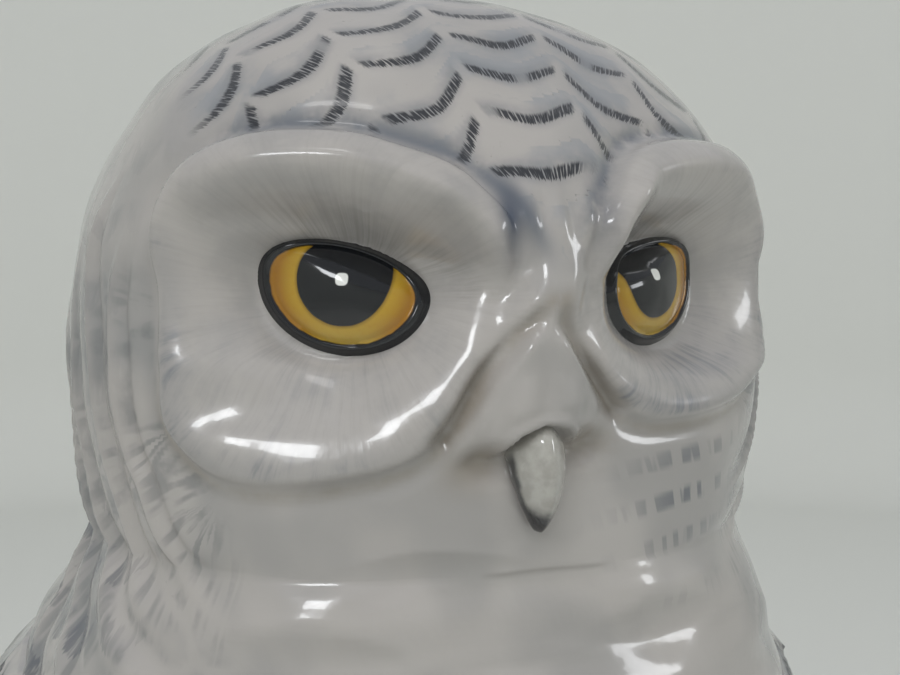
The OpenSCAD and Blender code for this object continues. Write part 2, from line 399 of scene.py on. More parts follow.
station_rows = [(SEAT_Z + s * (NECK_Z - SEAT_Z), w * BODY_HALF_W, d * BODY_HALF_D, shift)
                for s, w, d, shift in body_stations]
for drop in (0.0, 3.0):                # two rows on the jaw keep the outline smooth across the neck
    share = float(skull_share(NECK_Z + drop - HEAD_MID[2]))
    station_rows.append((NECK_Z + drop, share * HEAD_R, share * HEAD_D, HEAD_MID[1]))
body_rows = curve(station_rows, steps=12)


def ring_sizes(z):
    """Half width, half depth, shift and squareness of the smooth form at each height."""
    on_head = z > NECK_Z
    share = skull_share(np.clip(z - HEAD_MID[2], -JAW_H, HEAD_R))
    body = [np.interp(z, body_rows[:, 0], body_rows[:, k]) for k in (1, 2, 3)]
    power = 2 + (SKULL_POWER - 2) * soft((z - NECK_Z + 12) / 12)
    return (np.where(on_head, share * HEAD_R, body[0]), np.where(on_head, share * HEAD_D, body[1]),
            np.where(on_head, HEAD_MID[1], body[2]), power)


def form_point(azimuth, z, grow=0.0):
    """A point on the smooth form. Azimuth 0 is the owl's front and runs towards its right, -X."""
    half_w, half_d, shift, power = ring_sizes(z)
    s, c = np.sin(azimuth), np.cos(azimuth)
    reach = (np.abs(s) ** power + np.abs(c) ** power) ** (-1 / power)
    return np.stack([-s * reach * (half_w + grow), shift - c * reach * (half_d + grow), z], axis=-1)


def spun_form():
    """Spins rows of points from the crown to the seat, then lays them on the smooth form."""
    crown = HEAD_R * np.cos(np.linspace(0, math.pi / 2, 130))[1:]
    jaw = np.linspace(0, NECK_Z - HEAD_MID[2], 52)[1:]
    below = np.linspace(NECK_Z, SEAT_Z, 190)[1:]
    heights = np.concatenate([HEAD_MID[2] + crown, HEAD_MID[2] + jaw, below])
    bm = spun_row([(0, -1, z) for z in heights], COLUMNS)
    for end in (heights[0], heights[-1]):
        rim = [e for e in bm.edges if e.is_boundary and abs(e.verts[0].co.z - end) < 1e-3]
        bmesh.ops.contextual_create(bm, geom=rim)
    bmesh.ops.recalc_face_normals(bm, faces=bm.faces)
    points = points_of(bm)
    turn = np.arctan2(-points[:, 0], -points[:, 1])
    turn = turn - CROWD_FRONT * np.sin(turn)
    move_points(bm, form_point(turn, points[:, 2]))
    return bm


# %% [markdown]
# ## The face, in angles
# A point on the head is named by its angle away from the middle of the face and its angle above the
# middle of the head. Each facial disc has one outline: it rises from the nape side, arches over the
# brow, runs down the forehead's V to the bridge and returns under the cheek.

# %% Outlines of the face, in degrees
disc_outline = curve([
    (57, 10), (58, 17), (57.5, 22.5), (54.5, 27), (49, 30.3), (42, 32.2), (31, 33.2), (22, 32), (15, 29),
    (10.5, 25), (7.5, 21.5), (5.5, 17.5), (3.5, 13), (2, 9), (5, 4), (8.5, 0), (11.5, -4), (14.5, -8),
    (20, -11), (30, -12), (40, -11.5), (48, -9), (53, -5), (56, 1),
], steps=5, closed=True)
brow_crest = curve([(57, 18), (53, 23), (47, 26), (39, 27.3), (30, 27.7), (20, 26), (13, 22.5), (9, 19),
                    (6.5, 14)])
brow_edge = curve([(22, 26), (16, 23), (11.5, 19), (8.5, 15), (6.5, 11)])
lid_crease = curve([(56, 18.5), (49, 20.5), (41, 22), (31, 22), (23, 20), (16, 16.5), (11.5, 12)])
nose_groove = curve([(1, 9.5), (2.5, 7), (5, 4), (8.5, 0), (11.5, -4), (14.5, -8)])
nose_edge = curve([(1.5, 6), (3.4, 3), (6.2, -1), (8.8, -5.5), (9.6, -9)])
cere_rim = curve([(-5.5, -10.5), (-3.8, -8.2), (0, -7.2), (3.8, -8.2), (5.5, -10.5)])
collar_lines = [curve(line) for line in (
    [(64, 22), (66, 14), (67, 7), (64, -7), (61, -12), (58, -19), (53, -24), (45, -27)],
    [(73, 30), (76, 20), (76, 12), (72, -3), (69, -13), (66, -21), (62, -26), (54, -29)],
    [(85, 20), (84, 3), (81, -8), (77, -19), (70, -26), (63, -30), (54, -33), (45, -35)],
    [(97, 12), (93, -3), (89, -15), (84, -25), (77, -31), (68, -36), (58, -40)],
    [(108, 16), (104, 0), (100, -14), (96, -26), (90, -34), (82, -40), (70, -45)],
)]
EYE_AZ, EYE_EL = 30.5, 13.5
FOREHEAD_EL = 16.0                     # the crown's rows of marks spread from here
LEAN = -3.0                            # the forehead's V stands a little towards the owl's left
CHEEK_HANG = 4.2                       # and the owl's left cheek hangs lower than its right one

# %% [markdown]
# ## Sculpting the face
# The discs are shallow pillows with a crisp step over the neck feathers. The brow is a thick roll
# along the top of each disc, with a sharper edge where it dives to the bridge, and it overhangs the
# eye. The bridge swells into a cere over the beak, and grooves part it from the cheeks.


# %% Heights over the head, in millimetres
DISC_STEP, DISC_EASE = 0.85, 0.4       # the discs stand over the neck by this, and by less under the cheeks
DISH_DEEP = 5.8                        # the hollow that the eye lies in
BROW_HIGH, BROW_EDGE_HIGH = 1.9, 1.0
LID_DEEP = 0.7
TRENCH_DEEP = 0.95                     # the grooves between nose and cheeks


def head_angles(points):
    """Angle from the face's middle and angle of elevation at each point, in degrees."""
    out = points - HEAD_MID
    flat = np.hypot(out[:, 0], out[:, 1])
    return np.degrees(np.arctan2(-out[:, 0], -out[:, 1])), np.degrees(np.arctan2(out[:, 2], flat))


def face_fields(points):
    """The distances that both the sculpting and the painting of the face use, in degrees."""
    azimuth, el = head_angles(points)
    lean = LEAN * soft((el - 4) / 12) * (1 - soft((np.abs(azimuth) - 10) / 14))
    a = np.abs(azimuth - lean)
    e = el + CHEEK_HANG * np.clip(azimuth / 40, -1.2, 1.2) * soft((2 - el) / 10)
    gap, _ = to_line(a, e, disc_outline, closed=True)
    edge = np.where(inside(a, e, disc_outline), gap, -gap)
    return azimuth, a, e, edge


def disc_height(a, el, edge):
    """The pillow of each disc, the rolls of its brow, and the hollow round the eye."""
    pillow = (DISC_STEP - DISC_EASE * soft((-3 - el) / 6)) * soft((edge + 0.3) / 1.6)
    pillow += 0.15 * bell((edge - 2.6) / 2.4) * soft((24 - el) / 8)
    pillow *= 1 - 0.8 * soft((11 - a) / 6) * soft((el + 2) / 8)
    outer_groove = -0.4 * bell((edge + 1.7) / 1.6) * soft((a - 9) / 6)
    crest, along = to_line(a, el, brow_crest)
    taper = soft((1.0 - along) / 0.15) * (0.3 + 0.7 * soft(along / 0.35))
    brow = BROW_HIGH * bell(crest / 4.8) * taper
    ridge, along = to_line(a, el, brow_edge)
    brow += BROW_EDGE_HIGH * bell(ridge / 1.8) * soft(along / 0.25) * soft((1 - along) / 0.25)
    crease, along = to_line(a, el, lid_crease)
    fold = -LID_DEEP * bell(crease / 1.5) * soft((1 - along) / 0.2) * soft(along / 0.4)
    across = np.where(a > EYE_AZ, 20.0, 17.0)
    tall = np.where(el > EYE_EL - 1, 10.5, 15.5)
    away = np.hypot((a - EYE_AZ) / across, (el - EYE_EL + 1) / tall)
    dish = -DISH_DEEP * np.clip((1.5 - away) / 0.78, 0, 1) ** 1.6
    cheek = 0.5 * bell((a - 33) / 16) * bell((el + 3) / 6)
    return pillow + outer_groove + brow + fold + dish + cheek


def nose_height(azimuth, a, el):
    """The bridge, the cere with its two lobes, the grooves beside it, and the tufts in the forehead's V."""
    width = np.interp(el, [-12, -6, 0, 6, 12, 18, 26, 38], [9.5, 8.6, 7.2, 5.6, 5.0, 5.6, 9.0, 16])
    swell = np.interp(el, [-16, -12.5, -9, -5, 0, 6, 12, 18, 25, 32, 40, 50],
                      [0, 0.1, 1.9, 2.6, 2.5, 2.7, 2.9, 2.5, 2.0, 1.5, 0.8, 0])
    bridge = swell * bell((a / width) ** 1.6)
    lobes = 0.45 * bell((a - 4.6) / 2.4) * bell((el + 4) / 4) - 0.25 * bell(a / 1.4) * bell((el + 3) / 4)
    groove, along = to_line(a, el, nose_groove)
    trench = -TRENCH_DEEP * bell(groove / 1.5) * soft(along / 0.2)
    lip, along = to_line(a, el, nose_edge)
    seam = 0.40 * bell(lip / 1.1) * soft(along / 0.2) * soft((1 - along) / 0.25)
    arch, _ = to_line(azimuth, el, cere_rim)
    under = np.interp(np.abs(azimuth), [0, 3.8, 5.5, 9], [-7.2, -8.2, -10.5, -14])
    rim = 0.45 * bell(arch / 0.9) - soft((under - el) / 1.4) * bell(azimuth / 7) * soft((el + 17) / 4)
    hollow = -1.1 * bell((a - 8.5) / 3.4) * bell((el + 12.5) / 2.4)
    signed = azimuth - LEAN
    tufts = 0.30 * np.cos(signed * math.tau / 5.0) * bell(signed / 7.0) * bell((el - 21) / 3.6)
    return bridge + lobes + trench + seam + rim + hollow + tufts


def face_height(points):
    azimuth, a, el, edge = face_fields(points)
    return soft((100 - a) / 20) * (disc_height(a, el, edge) + nose_height(azimuth, a, el))


# %% Heights over the neck and the top of the breast, in millimetres
COLLAR_HIGH, COLLAR_DEEP = 0.50, 0.38
BREAST_ROLL = 0.75
# where each fold's middle is round the breast, its half width in degrees, how far it lies below the
# neck, how far it sags, and its height
breast_folds = (
    (-3, 24, 1.5, 2.0, 0.65), (-27, 17, 1.0, -2.0, 0.55), (15, 16, -1.0, 1.5, 0.50), (4, 26, 8.5, 2.5, 0.65),
    (-24, 18, 6.0, 2.5, 0.55), (33, 12, 0.0, -1.5, 0.45), (34, 18, 6.5, 3.0, 0.55), (-44, 18, 9, 3.0, 0.50),
)


def collar_height(points):
    """Laps of neck feathers that sweep from behind the cheeks forwards and down, and folds of the breast."""
    azimuth, a, el, edge = face_fields(points)
    total = np.zeros(len(points))
    for line in collar_lines:
        gap, along = to_line(a, el, line)
        signed = np.where(inside(a, el, np.vstack([line, [(20, -50), (20, 60)]])), gap, -gap)
        fade = soft(along / 0.25) * soft((1 - along) / 0.3)
        total += fade * (COLLAR_HIGH * bell(gap / 1.1) - COLLAR_DEEP * bell((signed - 2.4) / 1.3))
    down = NECK_Z - points[:, 2]
    for azimuth_at, wide, drop, bow, lift in breast_folds:
        x = (azimuth - azimuth_at) / wide
        fold = down - drop + bow * (1 - x * x)
        total += lift * soft(1.3 - np.abs(x)) * np.where(fold < 0, np.exp(fold / 3.0), np.exp(-fold / 1.4))
    below = soft((NECK_Z + 3 - points[:, 2]) / 8) * soft((-edge - 1) / 3)
    total += BREAST_ROLL * below * rough_wave(points * [0.45, 0.45, 1.2], 6.0, 5)
    total += 0.10 * rough_wave(points, 4.5, 9) + 0.12 * rough_wave(points * [1, 1, 0.7], 9.0, 4)
    return total


# %% [markdown]
# ## Rows of feather tips
# Crown, nape, breast and back are covered by rows of rounded feather tips, each row set half a
# feather across from the next. One rule finds the nearest tip to every point: how far along its
# curved edge the point is, and how far across that edge. The modelling uses it for small laps, and
# the painting for brush strokes along the edges.


# %% The nearest feather tip
CROWN_ROW, CROWN_TIP_W, CROWN_SAG = 4.7, 8.3, 3.0
CROWN_FROM = 5.9                       # from the forehead's lowest point to the first row


def nearest_tip(down_row, along_row, row_step, tip_w, sag, seed, stagger=0.5):
    """Distances in the units given: down_row runs across the rows, along_row(row) along one row.
    Returns along, across (positive on the feather), a random number for each feather, and how much
    nearer this tip is than the next one, which is 0 where two feathers part."""
    first = np.floor(down_row / row_step)
    best = np.full(down_row.shape, 1e9)
    second = best.copy()
    along, across, luck = best.copy(), best.copy(), best.copy()
    for k in (-1, 0, 1, 2):
        row = first + k
        x, count = along_row(row)
        x = x / tip_w + stagger * (row % 2) + 0.5 * (stagger == 0) + 0.06 * np.sin(row * 12.9)
        cell = np.floor(x)
        name = np.where(count > 0, np.mod(cell, np.maximum(count, 1)), cell)
        chance = np.modf(np.abs(np.sin(name * 12.9898 + row * 78.233 + seed) * 437.5453))[0]
        s = (x - cell - 0.5) * 2
        line = (row + 0.2 * (chance - 0.5)) * row_step + sag * s * s * (1 - 0.25 * s * s)
        t = down_row - line
        nearer = np.abs(t) < np.abs(best)
        second = np.where(nearer, np.abs(best), np.minimum(second, np.abs(t)))
        best = np.where(nearer, t, best)
        along = np.where(nearer, s * tip_w / 2, along)
        across = np.where(nearer, t, across)
        luck = np.where(nearer, chance, luck)
    parting = np.minimum(second - np.abs(best), 2 * (tip_w / 2 - np.abs(along)))
    return along, across, luck, parting


def crown_tips(points):
    """Rows of tips round the lowest point of the forehead, in millimetres over the skull."""
    out = (points - HEAD_MID) / np.linalg.norm(points - HEAD_MID, axis=1, keepdims=True)
    tilt, lean = math.radians(FOREHEAD_EL), math.radians(-LEAN)
    pole = np.array([math.sin(lean) * math.cos(tilt), -math.cos(lean) * math.cos(tilt), math.sin(tilt)])
    upward = np.array([0, math.sin(tilt), math.cos(tilt)])
    spread = np.arccos(np.clip(out @ pole, -1, 1))
    turn = np.arctan2(out @ np.cross(upward, pole), out @ upward)
    down = spread * HEAD_R - CROWN_FROM + CROWN_ROW * 2

    def along_row(row):
        radius = HEAD_R * np.sin(np.clip(((row - 2) * CROWN_ROW + 7) / HEAD_R, 0.12, math.pi - 0.05))
        count = np.maximum(np.round(math.tau * radius / CROWN_TIP_W), 5)
        return (turn / math.tau) * count * CROWN_TIP_W, count

    tips = nearest_tip(down, along_row, CROWN_ROW, CROWN_TIP_W, CROWN_SAG, 3.1, stagger=0)
    return tips + (spread * HEAD_R,)


def plumage_tips(points, row_step, tip_w, sag, seed, wobble=0.0):
    """Rows of downward-pointing tips round the body, in millimetres."""
    half_w, half_d, shift, _ = ring_sizes(points[:, 2])
    azimuth = np.arctan2(-points[:, 0] / half_w, -(points[:, 1] - shift) / half_d)
    z = points[:, 2] + wobble

    def along_row(row):
        count = np.round(math.tau * BODY_HALF_W * 0.9 / tip_w) * np.ones_like(row)
        return (azimuth / math.tau) * count * tip_w, count

    return nearest_tip(z, along_row, row_step, tip_w, sag, seed)


def lap(across, depth, soft_edge):
    """A feather lap: thickest at its tip, with a step down past the edge."""
    on_feather, past_tip = np.exp(-across / (soft_edge * 5)), np.exp(across / soft_edge * 2.5)
    return depth * np.where(across > 0, on_feather, past_tip)


# %% [markdown]
# ## Cutting the mould
# The form is sculpted in one go so that feathers flow over the neck, and then cut where the potter
# joins head and body. `bisect_plane` cuts a copy of the mesh for each casting, and a face closes the
# cut. The mesh stays smooth up to the cut, so the joint doesn't show once it is glazed.


# %% Sculpt the form, then cut out the head and the body
def sculpted_form():
    bm = spun_form()
    normals = normals_of(bm)
    points = points_of(bm)
    z = points[:, 2]
    on_face = z > NECK_Z - 6
    height = np.zeros(len(points))
    height[on_face] = face_height(points[on_face])
    height += collar_height(points) * soft((z - NECK_Z + 22) / 8)
    azimuth, _ = head_angles(points)
    wave = rough_wave(points, 14.0, 5)
    fine = rough_wave(points, 5.0, 9)
    across = plumage_tips(points, 7.5, 9.0, 3.2, 1.7, 2.0 * wave)[1]
    side = soft((np.abs(azimuth) - 25) / 40)
    below = soft((NECK_Z - 12 - z) / 14)
    height += lap(across, 0.25 + 0.30 * side, 0.6) * below
    height += (0.22 * wave + 0.07 * fine) * (1 - soft((z - NECK_Z) / 14) * 0.75)
    flat = np.abs(normals[:, 2]) > 0.97
    height[flat & (z < SEAT_Z + 2)] = 0
    move_points(bm, points + normals * height[:, None])
    return bm


def keep_normals(bm):
    """Remembers the smooth normals, so that both sides of the cut are shaded as one surface."""
    way = bm.verts.layers.float_vector.new("way")
    bm.normal_update()
    for vert in bm.verts:
        vert[way] = vert.normal


def cut_casting(whole, name, keep_above):
    bm = whole.copy()
    cut = bmesh.ops.bisect_plane(
        bm, geom=bm.verts[:] + bm.edges[:] + bm.faces[:], plane_co=(0, 0, NECK_Z), plane_no=(0, 0, 1),
        clear_inner=keep_above, clear_outer=not keep_above)
    rim = [e for e in cut["geom_cut"] if isinstance(e, bmesh.types.BMEdge)]
    lid = bmesh.ops.contextual_create(bm, geom=rim)["faces"]
    if not lid:
        lid = bmesh.ops.holes_fill(bm, edges=rim, sides=0)["faces"]
    bmesh.ops.triangulate(bm, faces=lid)
    piece = piece_from(bm, name, sharp=math.radians(60))
    mesh = piece.data
    ways = np.zeros(len(mesh.vertices) * 3, "f")
    mesh.attributes["way"].data.foreach_get("vector", ways)
    corners = np.zeros(len(mesh.loops), "i")
    mesh.loops.foreach_get("vertex_index", corners)
    loop_ways = ways.reshape(-1, 3)[corners]
    for face in mesh.polygons:
        if abs(face.normal.z) > 0.98 and (face.center.z > NECK_Z * MM - 1e-5) != keep_above:
            loop_ways[list(face.loop_indices)] = face.normal
    mesh.normals_split_custom_set(loop_ways)
    mesh.attributes.remove(mesh.attributes["way"])
    return piece


whole_form = sculpted_form()
keep_normals(whole_form)
head = cut_casting(whole_form, "head", True)
body = cut_casting(whole_form, "body", False)
whole_form.free()

# %% [markdown]
# ## Seating the eyes
# The eyes lie on the sculpted clay, so they ask it where it is: a ray sent inwards from outside stops
# on the surface. A tree of the mesh's faces answers many such questions quickly.

# %% Ask the clay where its surface is
from mathutils.bvhtree import BVHTree


def surface_tree(piece):
    mesh = piece.data
    corners = [v.co / MM for v in mesh.vertices]
    return BVHTree.FromPolygons(corners, [tuple(p.vertices) for p in mesh.polygons])


head_tree = surface_tree(head)


def hit(start, direction, fallback):
    """Where a ray first meets the clay of the head, in millimetres."""
    place, _, _, _ = head_tree.ray_cast(Vector(start), Vector(direction))
    return np.array(place) if place else np.array(fallback)


def face_direction(azimuth, el):
    """The way out of the head's middle at angles in degrees."""
    a, e = math.radians(azimuth), math.radians(el)
    return np.array([-math.sin(a) * math.cos(e), -math.cos(a) * math.cos(e), math.sin(e)])


# %% [markdown]
# ## The eyes
# Each eyeball is a clay button pressed into its socket and painted before glazing: a black lid line
# round an almond, an amber iris and a black pupil. A row of points is spun into a disc, and the disc
# is drawn out to an almond whose edge is sunk into the face. The lid line is a raised roll.

# %% Model the eyes
EYE_LONG = 6.9                         # from the middle of the almond to its corners
EYE_UP, EYE_DOWN = 3.4, 5.2            # the lower lid is the rounder one
EYE_TILT = math.radians(13)            # the inner corner is the lower one
EYE_DOME = 1.7
EYE_COLUMNS = 144
PUPIL_SHIFT = {1: 0.3, -1: 0.95}       # the painter set each pupil a little towards the bridge
EYE_LEAN = math.radians(2)             # the eyes look a little more to the side than the face does


def almond(turn):
    """Reach of the almond's outline at an angle: two slightly pointed ends."""
    c, s = np.cos(turn), np.sin(turn)
    tall = np.where(s > 0, EYE_UP, EYE_DOWN)
    power = np.where(s > 0, 2.0, 1.95)
    return (np.abs(c / EYE_LONG) ** power + np.abs(s / tall) ** power) ** (-1 / power)


def tilted(x, y, tilt=EYE_TILT):
    """Turns the almond's own directions into away from the bridge and up."""
    return x * math.cos(tilt) - y * math.sin(tilt), x * math.sin(tilt) + y * math.cos(tilt)


def eye_piece(side, name):
    shares = np.concatenate([np.linspace(0, 0.84, 22), np.linspace(0.86, 1.0, 10), [1.03, 1.05, 1.05]])
    bm = spun_row([(share, 0, 0) for share in shares], EYE_COLUMNS)
    bmesh.ops.remove_doubles(bm, verts=[v for v in bm.verts if v.co.length < 1e-4], dist=1e-3)
    flat = points_of(bm)
    share = np.hypot(flat[:, 0], flat[:, 1])
    turn = np.arctan2(flat[:, 1], flat[:, 0])
    reach = almond(turn)
    u, v = tilted(share * reach * np.cos(turn), share * reach * np.sin(turn))
    out = face_direction(side * EYE_AZ, EYE_EL)
    centre = hit(HEAD_MID + out * 2 * HEAD_R, -out, HEAD_MID + out * HEAD_R)
    look = face_direction(side * EYE_AZ + side * math.degrees(EYE_LEAN), EYE_EL - 6)
    outward = np.cross([0, 0, 1], look) * -side
    outward /= np.linalg.norm(outward)
    up = np.cross(look, outward) * side
    up /= np.linalg.norm(up)
    up *= np.sign(up[2])

    def clay_height(a, b):
        start = centre + outward * a + up * b + look * 12
        return (hit(start, -look, start - look * 12) - centre) @ look

    angles = np.linspace(0, math.tau, 49)[:-1]
    edge = []
    for angle in angles:
        r = float(almond(np.array(angle)))
        edge.append(clay_height(*tilted(r * math.cos(angle), r * math.sin(angle))))
    edge = np.array(edge)
    edge = (edge + np.roll(edge, 1) + np.roll(edge, -1)) / 3
    rim = np.interp(np.mod(turn, math.tau), np.append(angles, math.tau), np.append(edge, edge[0]))
    middle = edge.mean() + EYE_DOME
    r2 = np.minimum(share, 1) ** 2
    rise = middle * (1 - r2) + rim * r2
    roll = 0.28 * bell((share - 0.92) / 0.06) - 0.18 * bell((share - 0.83) / 0.035)
    sink = np.where(share > 1.0, (share - 1.0) * 5, 0)
    height = rise + roll - sink + 0.10
    points = centre + np.outer(u, outward) + np.outer(v, up) + np.outer(height, look)
    rim_edges = [e for e in bm.edges if e.is_boundary]
    move_points(bm, points)
    skirt = bmesh.ops.extrude_edge_only(bm, edges=rim_edges)["geom"]
    low = [v for v in skirt if isinstance(v, bmesh.types.BMVert)]
    bmesh.ops.translate(bm, verts=low, vec=Vector(-look * 1.6))
    bottom = [e for e in bm.edges if e.is_boundary]
    bmesh.ops.contextual_create(bm, geom=bottom)
    bmesh.ops.recalc_face_normals(bm, faces=bm.faces)
    piece = piece_from(bm, name, sharp=math.radians(70))
    finished = np.array([vert.co for vert in piece.data.vertices]) / MM - centre
    u, v = finished @ outward, finished @ up
    x, y = tilted(u, v, -EYE_TILT)
    store(piece, "eye", u + PUPIL_SHIFT[side], v, np.hypot(x, y) / almond(np.arctan2(y, x)))
    return piece


right_eye = eye_piece(1, "eye_right")
left_eye = eye_piece(-1, "eye_left")

# %% [markdown]
# ## The beak
# The beak is a small hooked sprig under the cere. A ball is drawn out along an arc that turns down:
# wide at the root, narrow and blunt at the tip, with a keel along its ridge.

# %% Model the beak
BEAK_ROOT = HEAD_MID + np.array([0, -28.2, -4.6])
BEAK_LONG = 8.5
BEAK_HALF = 2.4
BEAK_START, BEAK_TURN = math.radians(48), math.radians(56)


def beak_piece():
    bm = bmesh.new()
    bmesh.ops.create_uvsphere(bm, u_segments=48, v_segments=40, radius=1)
    t, c, s = round_ball(points_of(bm))
    t = t ** 1.1
    full = np.interp(t, [0, 0.06, 0.25, 0.5, 0.75, 0.9, 0.97, 1.0], [0, 0.8, 1.0, 0.9, 0.62, 0.36, 0.2, 0])
    radius = BEAK_LONG / BEAK_TURN
    angle = BEAK_START + BEAK_TURN * t
    mid_y = radius * (math.sin(BEAK_START) - np.sin(angle))
    mid_z = radius * (np.cos(angle) - math.cos(BEAK_START))
    keel = 1 + 0.22 * np.maximum(s, 0) ** 3
    across = BEAK_HALF * full * c * (1 - 0.25 * np.maximum(s, 0) ** 2)
    along = BEAK_HALF * 1.05 * full * s * keel
    y, z = mid_y - along * np.sin(angle), mid_z + along * np.cos(angle)
    move_points(bm, BEAK_ROOT + np.stack([across, y, z], axis=-1))
    bmesh.ops.recalc_face_normals(bm, faces=bm.faces)
    piece = piece_from(bm, "beak_sprig")
    store(piece, "beak", t, s, c)
    return piece


beak = beak_piece()

# %% [markdown]
# ## White glaze with painted feathers
# The glaze is a warm cream white that pools slightly grey in the grooves. Over it, the painter laid
# a pale blue-grey wash, soft grey strokes that fan out over the discs, bars on the neck, and rows of
# short black strokes along the feather tips of the crown. The strokes come from fields stored on the
# mesh, so they follow the modelling, and head and body share them, so they run over the joint.
# Painted shade darkens the grooves by the nose and under the discs, the fold under each brow and the lower
# part of the owl's left disc.


# %% Fields for the paint of head and body
def paint_fields(piece):
    points = np.array([v.co for v in piece.data.vertices]) / MM
    azimuth, a, el, edge = face_fields(points)
    z = points[:, 2]
    off_disc = soft((-edge - 0.9) / 1.2)

    along, across, luck, parting, spread = crown_tips(points)
    on_crown = off_disc * soft((el - 12 - 30 * soft((a - 30) / 45) * soft((150 - a) / 50)) / 8)
    front_row = soft((spread - 3.6) / 1.2)
    end = soft((parting - 0.7) / 0.5)
    store(piece, "tips", along + 20 * luck, across, on_crown * end * front_row)

    groove = bell((edge + 1.9) / 1.7) * soft((el - 12) / 9) * soft((58 - a) / 12)
    valley = bell((a - 7.5) / 2.2) * bell((el - 21) / 5) * np.where(azimuth > LEAN, 1.0, 0.45)
    store(piece, "wash", groove, on_crown, soft((edge - 0.2) / 1.4))

    eye_x, eye_y = (a - EYE_AZ) * np.cos(np.radians(el)), el - EYE_EL
    turn, reach = np.arctan2(eye_y, eye_x), np.hypot(eye_x, eye_y)
    store(piece, "fan", np.cos(turn) * 3, np.sin(turn) * 3, reach)

    rim = soft((6.0 - edge) / 4.0) * soft((edge - 0.8) / 1.0)
    outer = soft((a - 44) / 8) * soft((20 - el) / 6) + 0.6 * bell((el + 8) / 5) * soft((a - 16) / 8)
    # heavier on the owl's left: painted shade on the lower disc that faces away from the light
    outer += np.where(azimuth < 0, 0.9, 0.25) * bell((el + 6) / 4) * soft((a - 10) / 5)
    row_wave = 1.2 * rough_wave(points, 12.0, 7)
    row_along, row_across, row_luck, row_parting = plumage_tips(points, 5.6, 7.4, 2.8, 8.3, row_wave)
    side = soft((a - 52) / 24)
    rows = soft(1.6 * np.cos((el + 17.5) * math.tau / 6.2) - 0.1)
    flecked = rows * bell((azimuth + 30) / 11) * bell((el + 23) / 9) * off_disc
    plume = side * off_disc * (1 - on_crown)
    plume *= soft((z - SEAT_Z - 6) / 14) * (1 - 0.75 * soft((z - NECK_Z + 2) / 10) * soft((130 - a) / 30))
    store(piece, "plume", row_along + 20 * row_luck, row_across, plume * soft((row_parting - 0.9) / 0.7))

    channel = np.full(len(points), 1e9)
    other = channel.copy()
    run = np.zeros(len(points))
    for line in collar_lines:
        gap, along_line = to_line(a, el, line)
        nearer = gap < channel
        other = np.where(nearer, channel, np.minimum(other, gap))
        channel = np.where(nearer, gap, channel)
        run = np.where(nearer, along_line * 36, run)
    ridge = bell(channel / 0.9)
    collar = soft((a - 42) / 8) * (1 - soft((a - 100) / 20)) * off_disc
    collar *= soft((16 - el) / 12) * soft((el + 48) / 12)
    store(piece, "collar", run, collar * (1 - ridge) * soft((other - channel - 0.7) / 0.8), channel * 0.56)

    # warm: painted shade in the hollows beside the nose, in the groove under each disc and along the grooves
    # between nose and cheeks
    warm = bell((a - 9) / 5) * bell((el + 13) / 3) + 0.75 * bell((edge + 1.2) / 1.0) * soft((2 - el) / 6)
    groove_gap, _ = to_line(a, el, nose_groove)
    warm += 0.8 * bell(groove_gap / 1.3)
    # lid_shade: painted shade in the fold under each brow roll
    crease_gap, _ = to_line(a, el, lid_crease)
    lid_shade = bell(crease_gap / 2.0) * soft((46 - a) / 10)
    # three fields: painted shade in the grooves (warm), the blue wash in the forehead's V (valley) and
    # painted shade under the brows (lid_shade)
    store(piece, "painted_shade_and_wash", warm, valley, lid_shade)
    # grey on the lower disc: painted grey, made heavier on the owl's left as painted shade on the side away
    # from the light
    grey = np.where(azimuth < 0, 0.9, 0.25) * bell((a - 36) / 15) * bell((el + 1) / 7)
    grey *= soft((edge - 0.8) / 1.0)
    shaded = np.clip(rim * np.clip(outer, 0, 1) + grey, 0, 1)
    store(piece, "brush_and_shade", shaded, soft((NECK_Z + 4 - z) / 30), flecked)


paint_fields(head)
paint_fields(body)

CREAM = (0.368, 0.347, 0.330, 1)
SHADE = (0.235, 0.247, 0.265, 1)
STROKE = (0.016, 0.018, 0.023, 1)
BLUE_GREY = (0.115, 0.128, 0.15, 1)
# warm brown painted shade, for the grooves of the face and the undersides of the feet
WARM_PAINTED_SHADE = (0.20, 0.165, 0.12, 1)


def dashes(finish, along, across, reach, pitch, seed, gaps=0.42):
    """Marks of a flat brush: short dabs side by side along a feather's edge, each one a comb of bristles."""
    dab = finish.grain(finish.vector(along * 0.42, seed, 5.0), 1.0, 1.0, 0.4)
    bristle = finish.grain(finish.vector(along * (1 / pitch), across * 0.5, seed), 1.0, 1.0, 0.5)
    drag = finish.grain(finish.vector(along * (1.3 / pitch), seed, 3.0), 1.0, 1.0, 0.6)
    load = finish.grain(finish.vector(along * 0.25, seed, 11.0), 1.0, 0.0)
    far_end = reach * (0.9 * drag + 1.2 * load)
    near_end = -0.40 - 1.3 * (drag - 0.5)
    body = finish.step(across, near_end - 0.10, near_end + 0.10) * (
        1 - finish.step(across, far_end - 0.22, far_end + 0.22))
    return body * finish.step(bristle, 0.34, 0.50) * finish.step(dab, gaps - 0.05, gaps + 0.05)


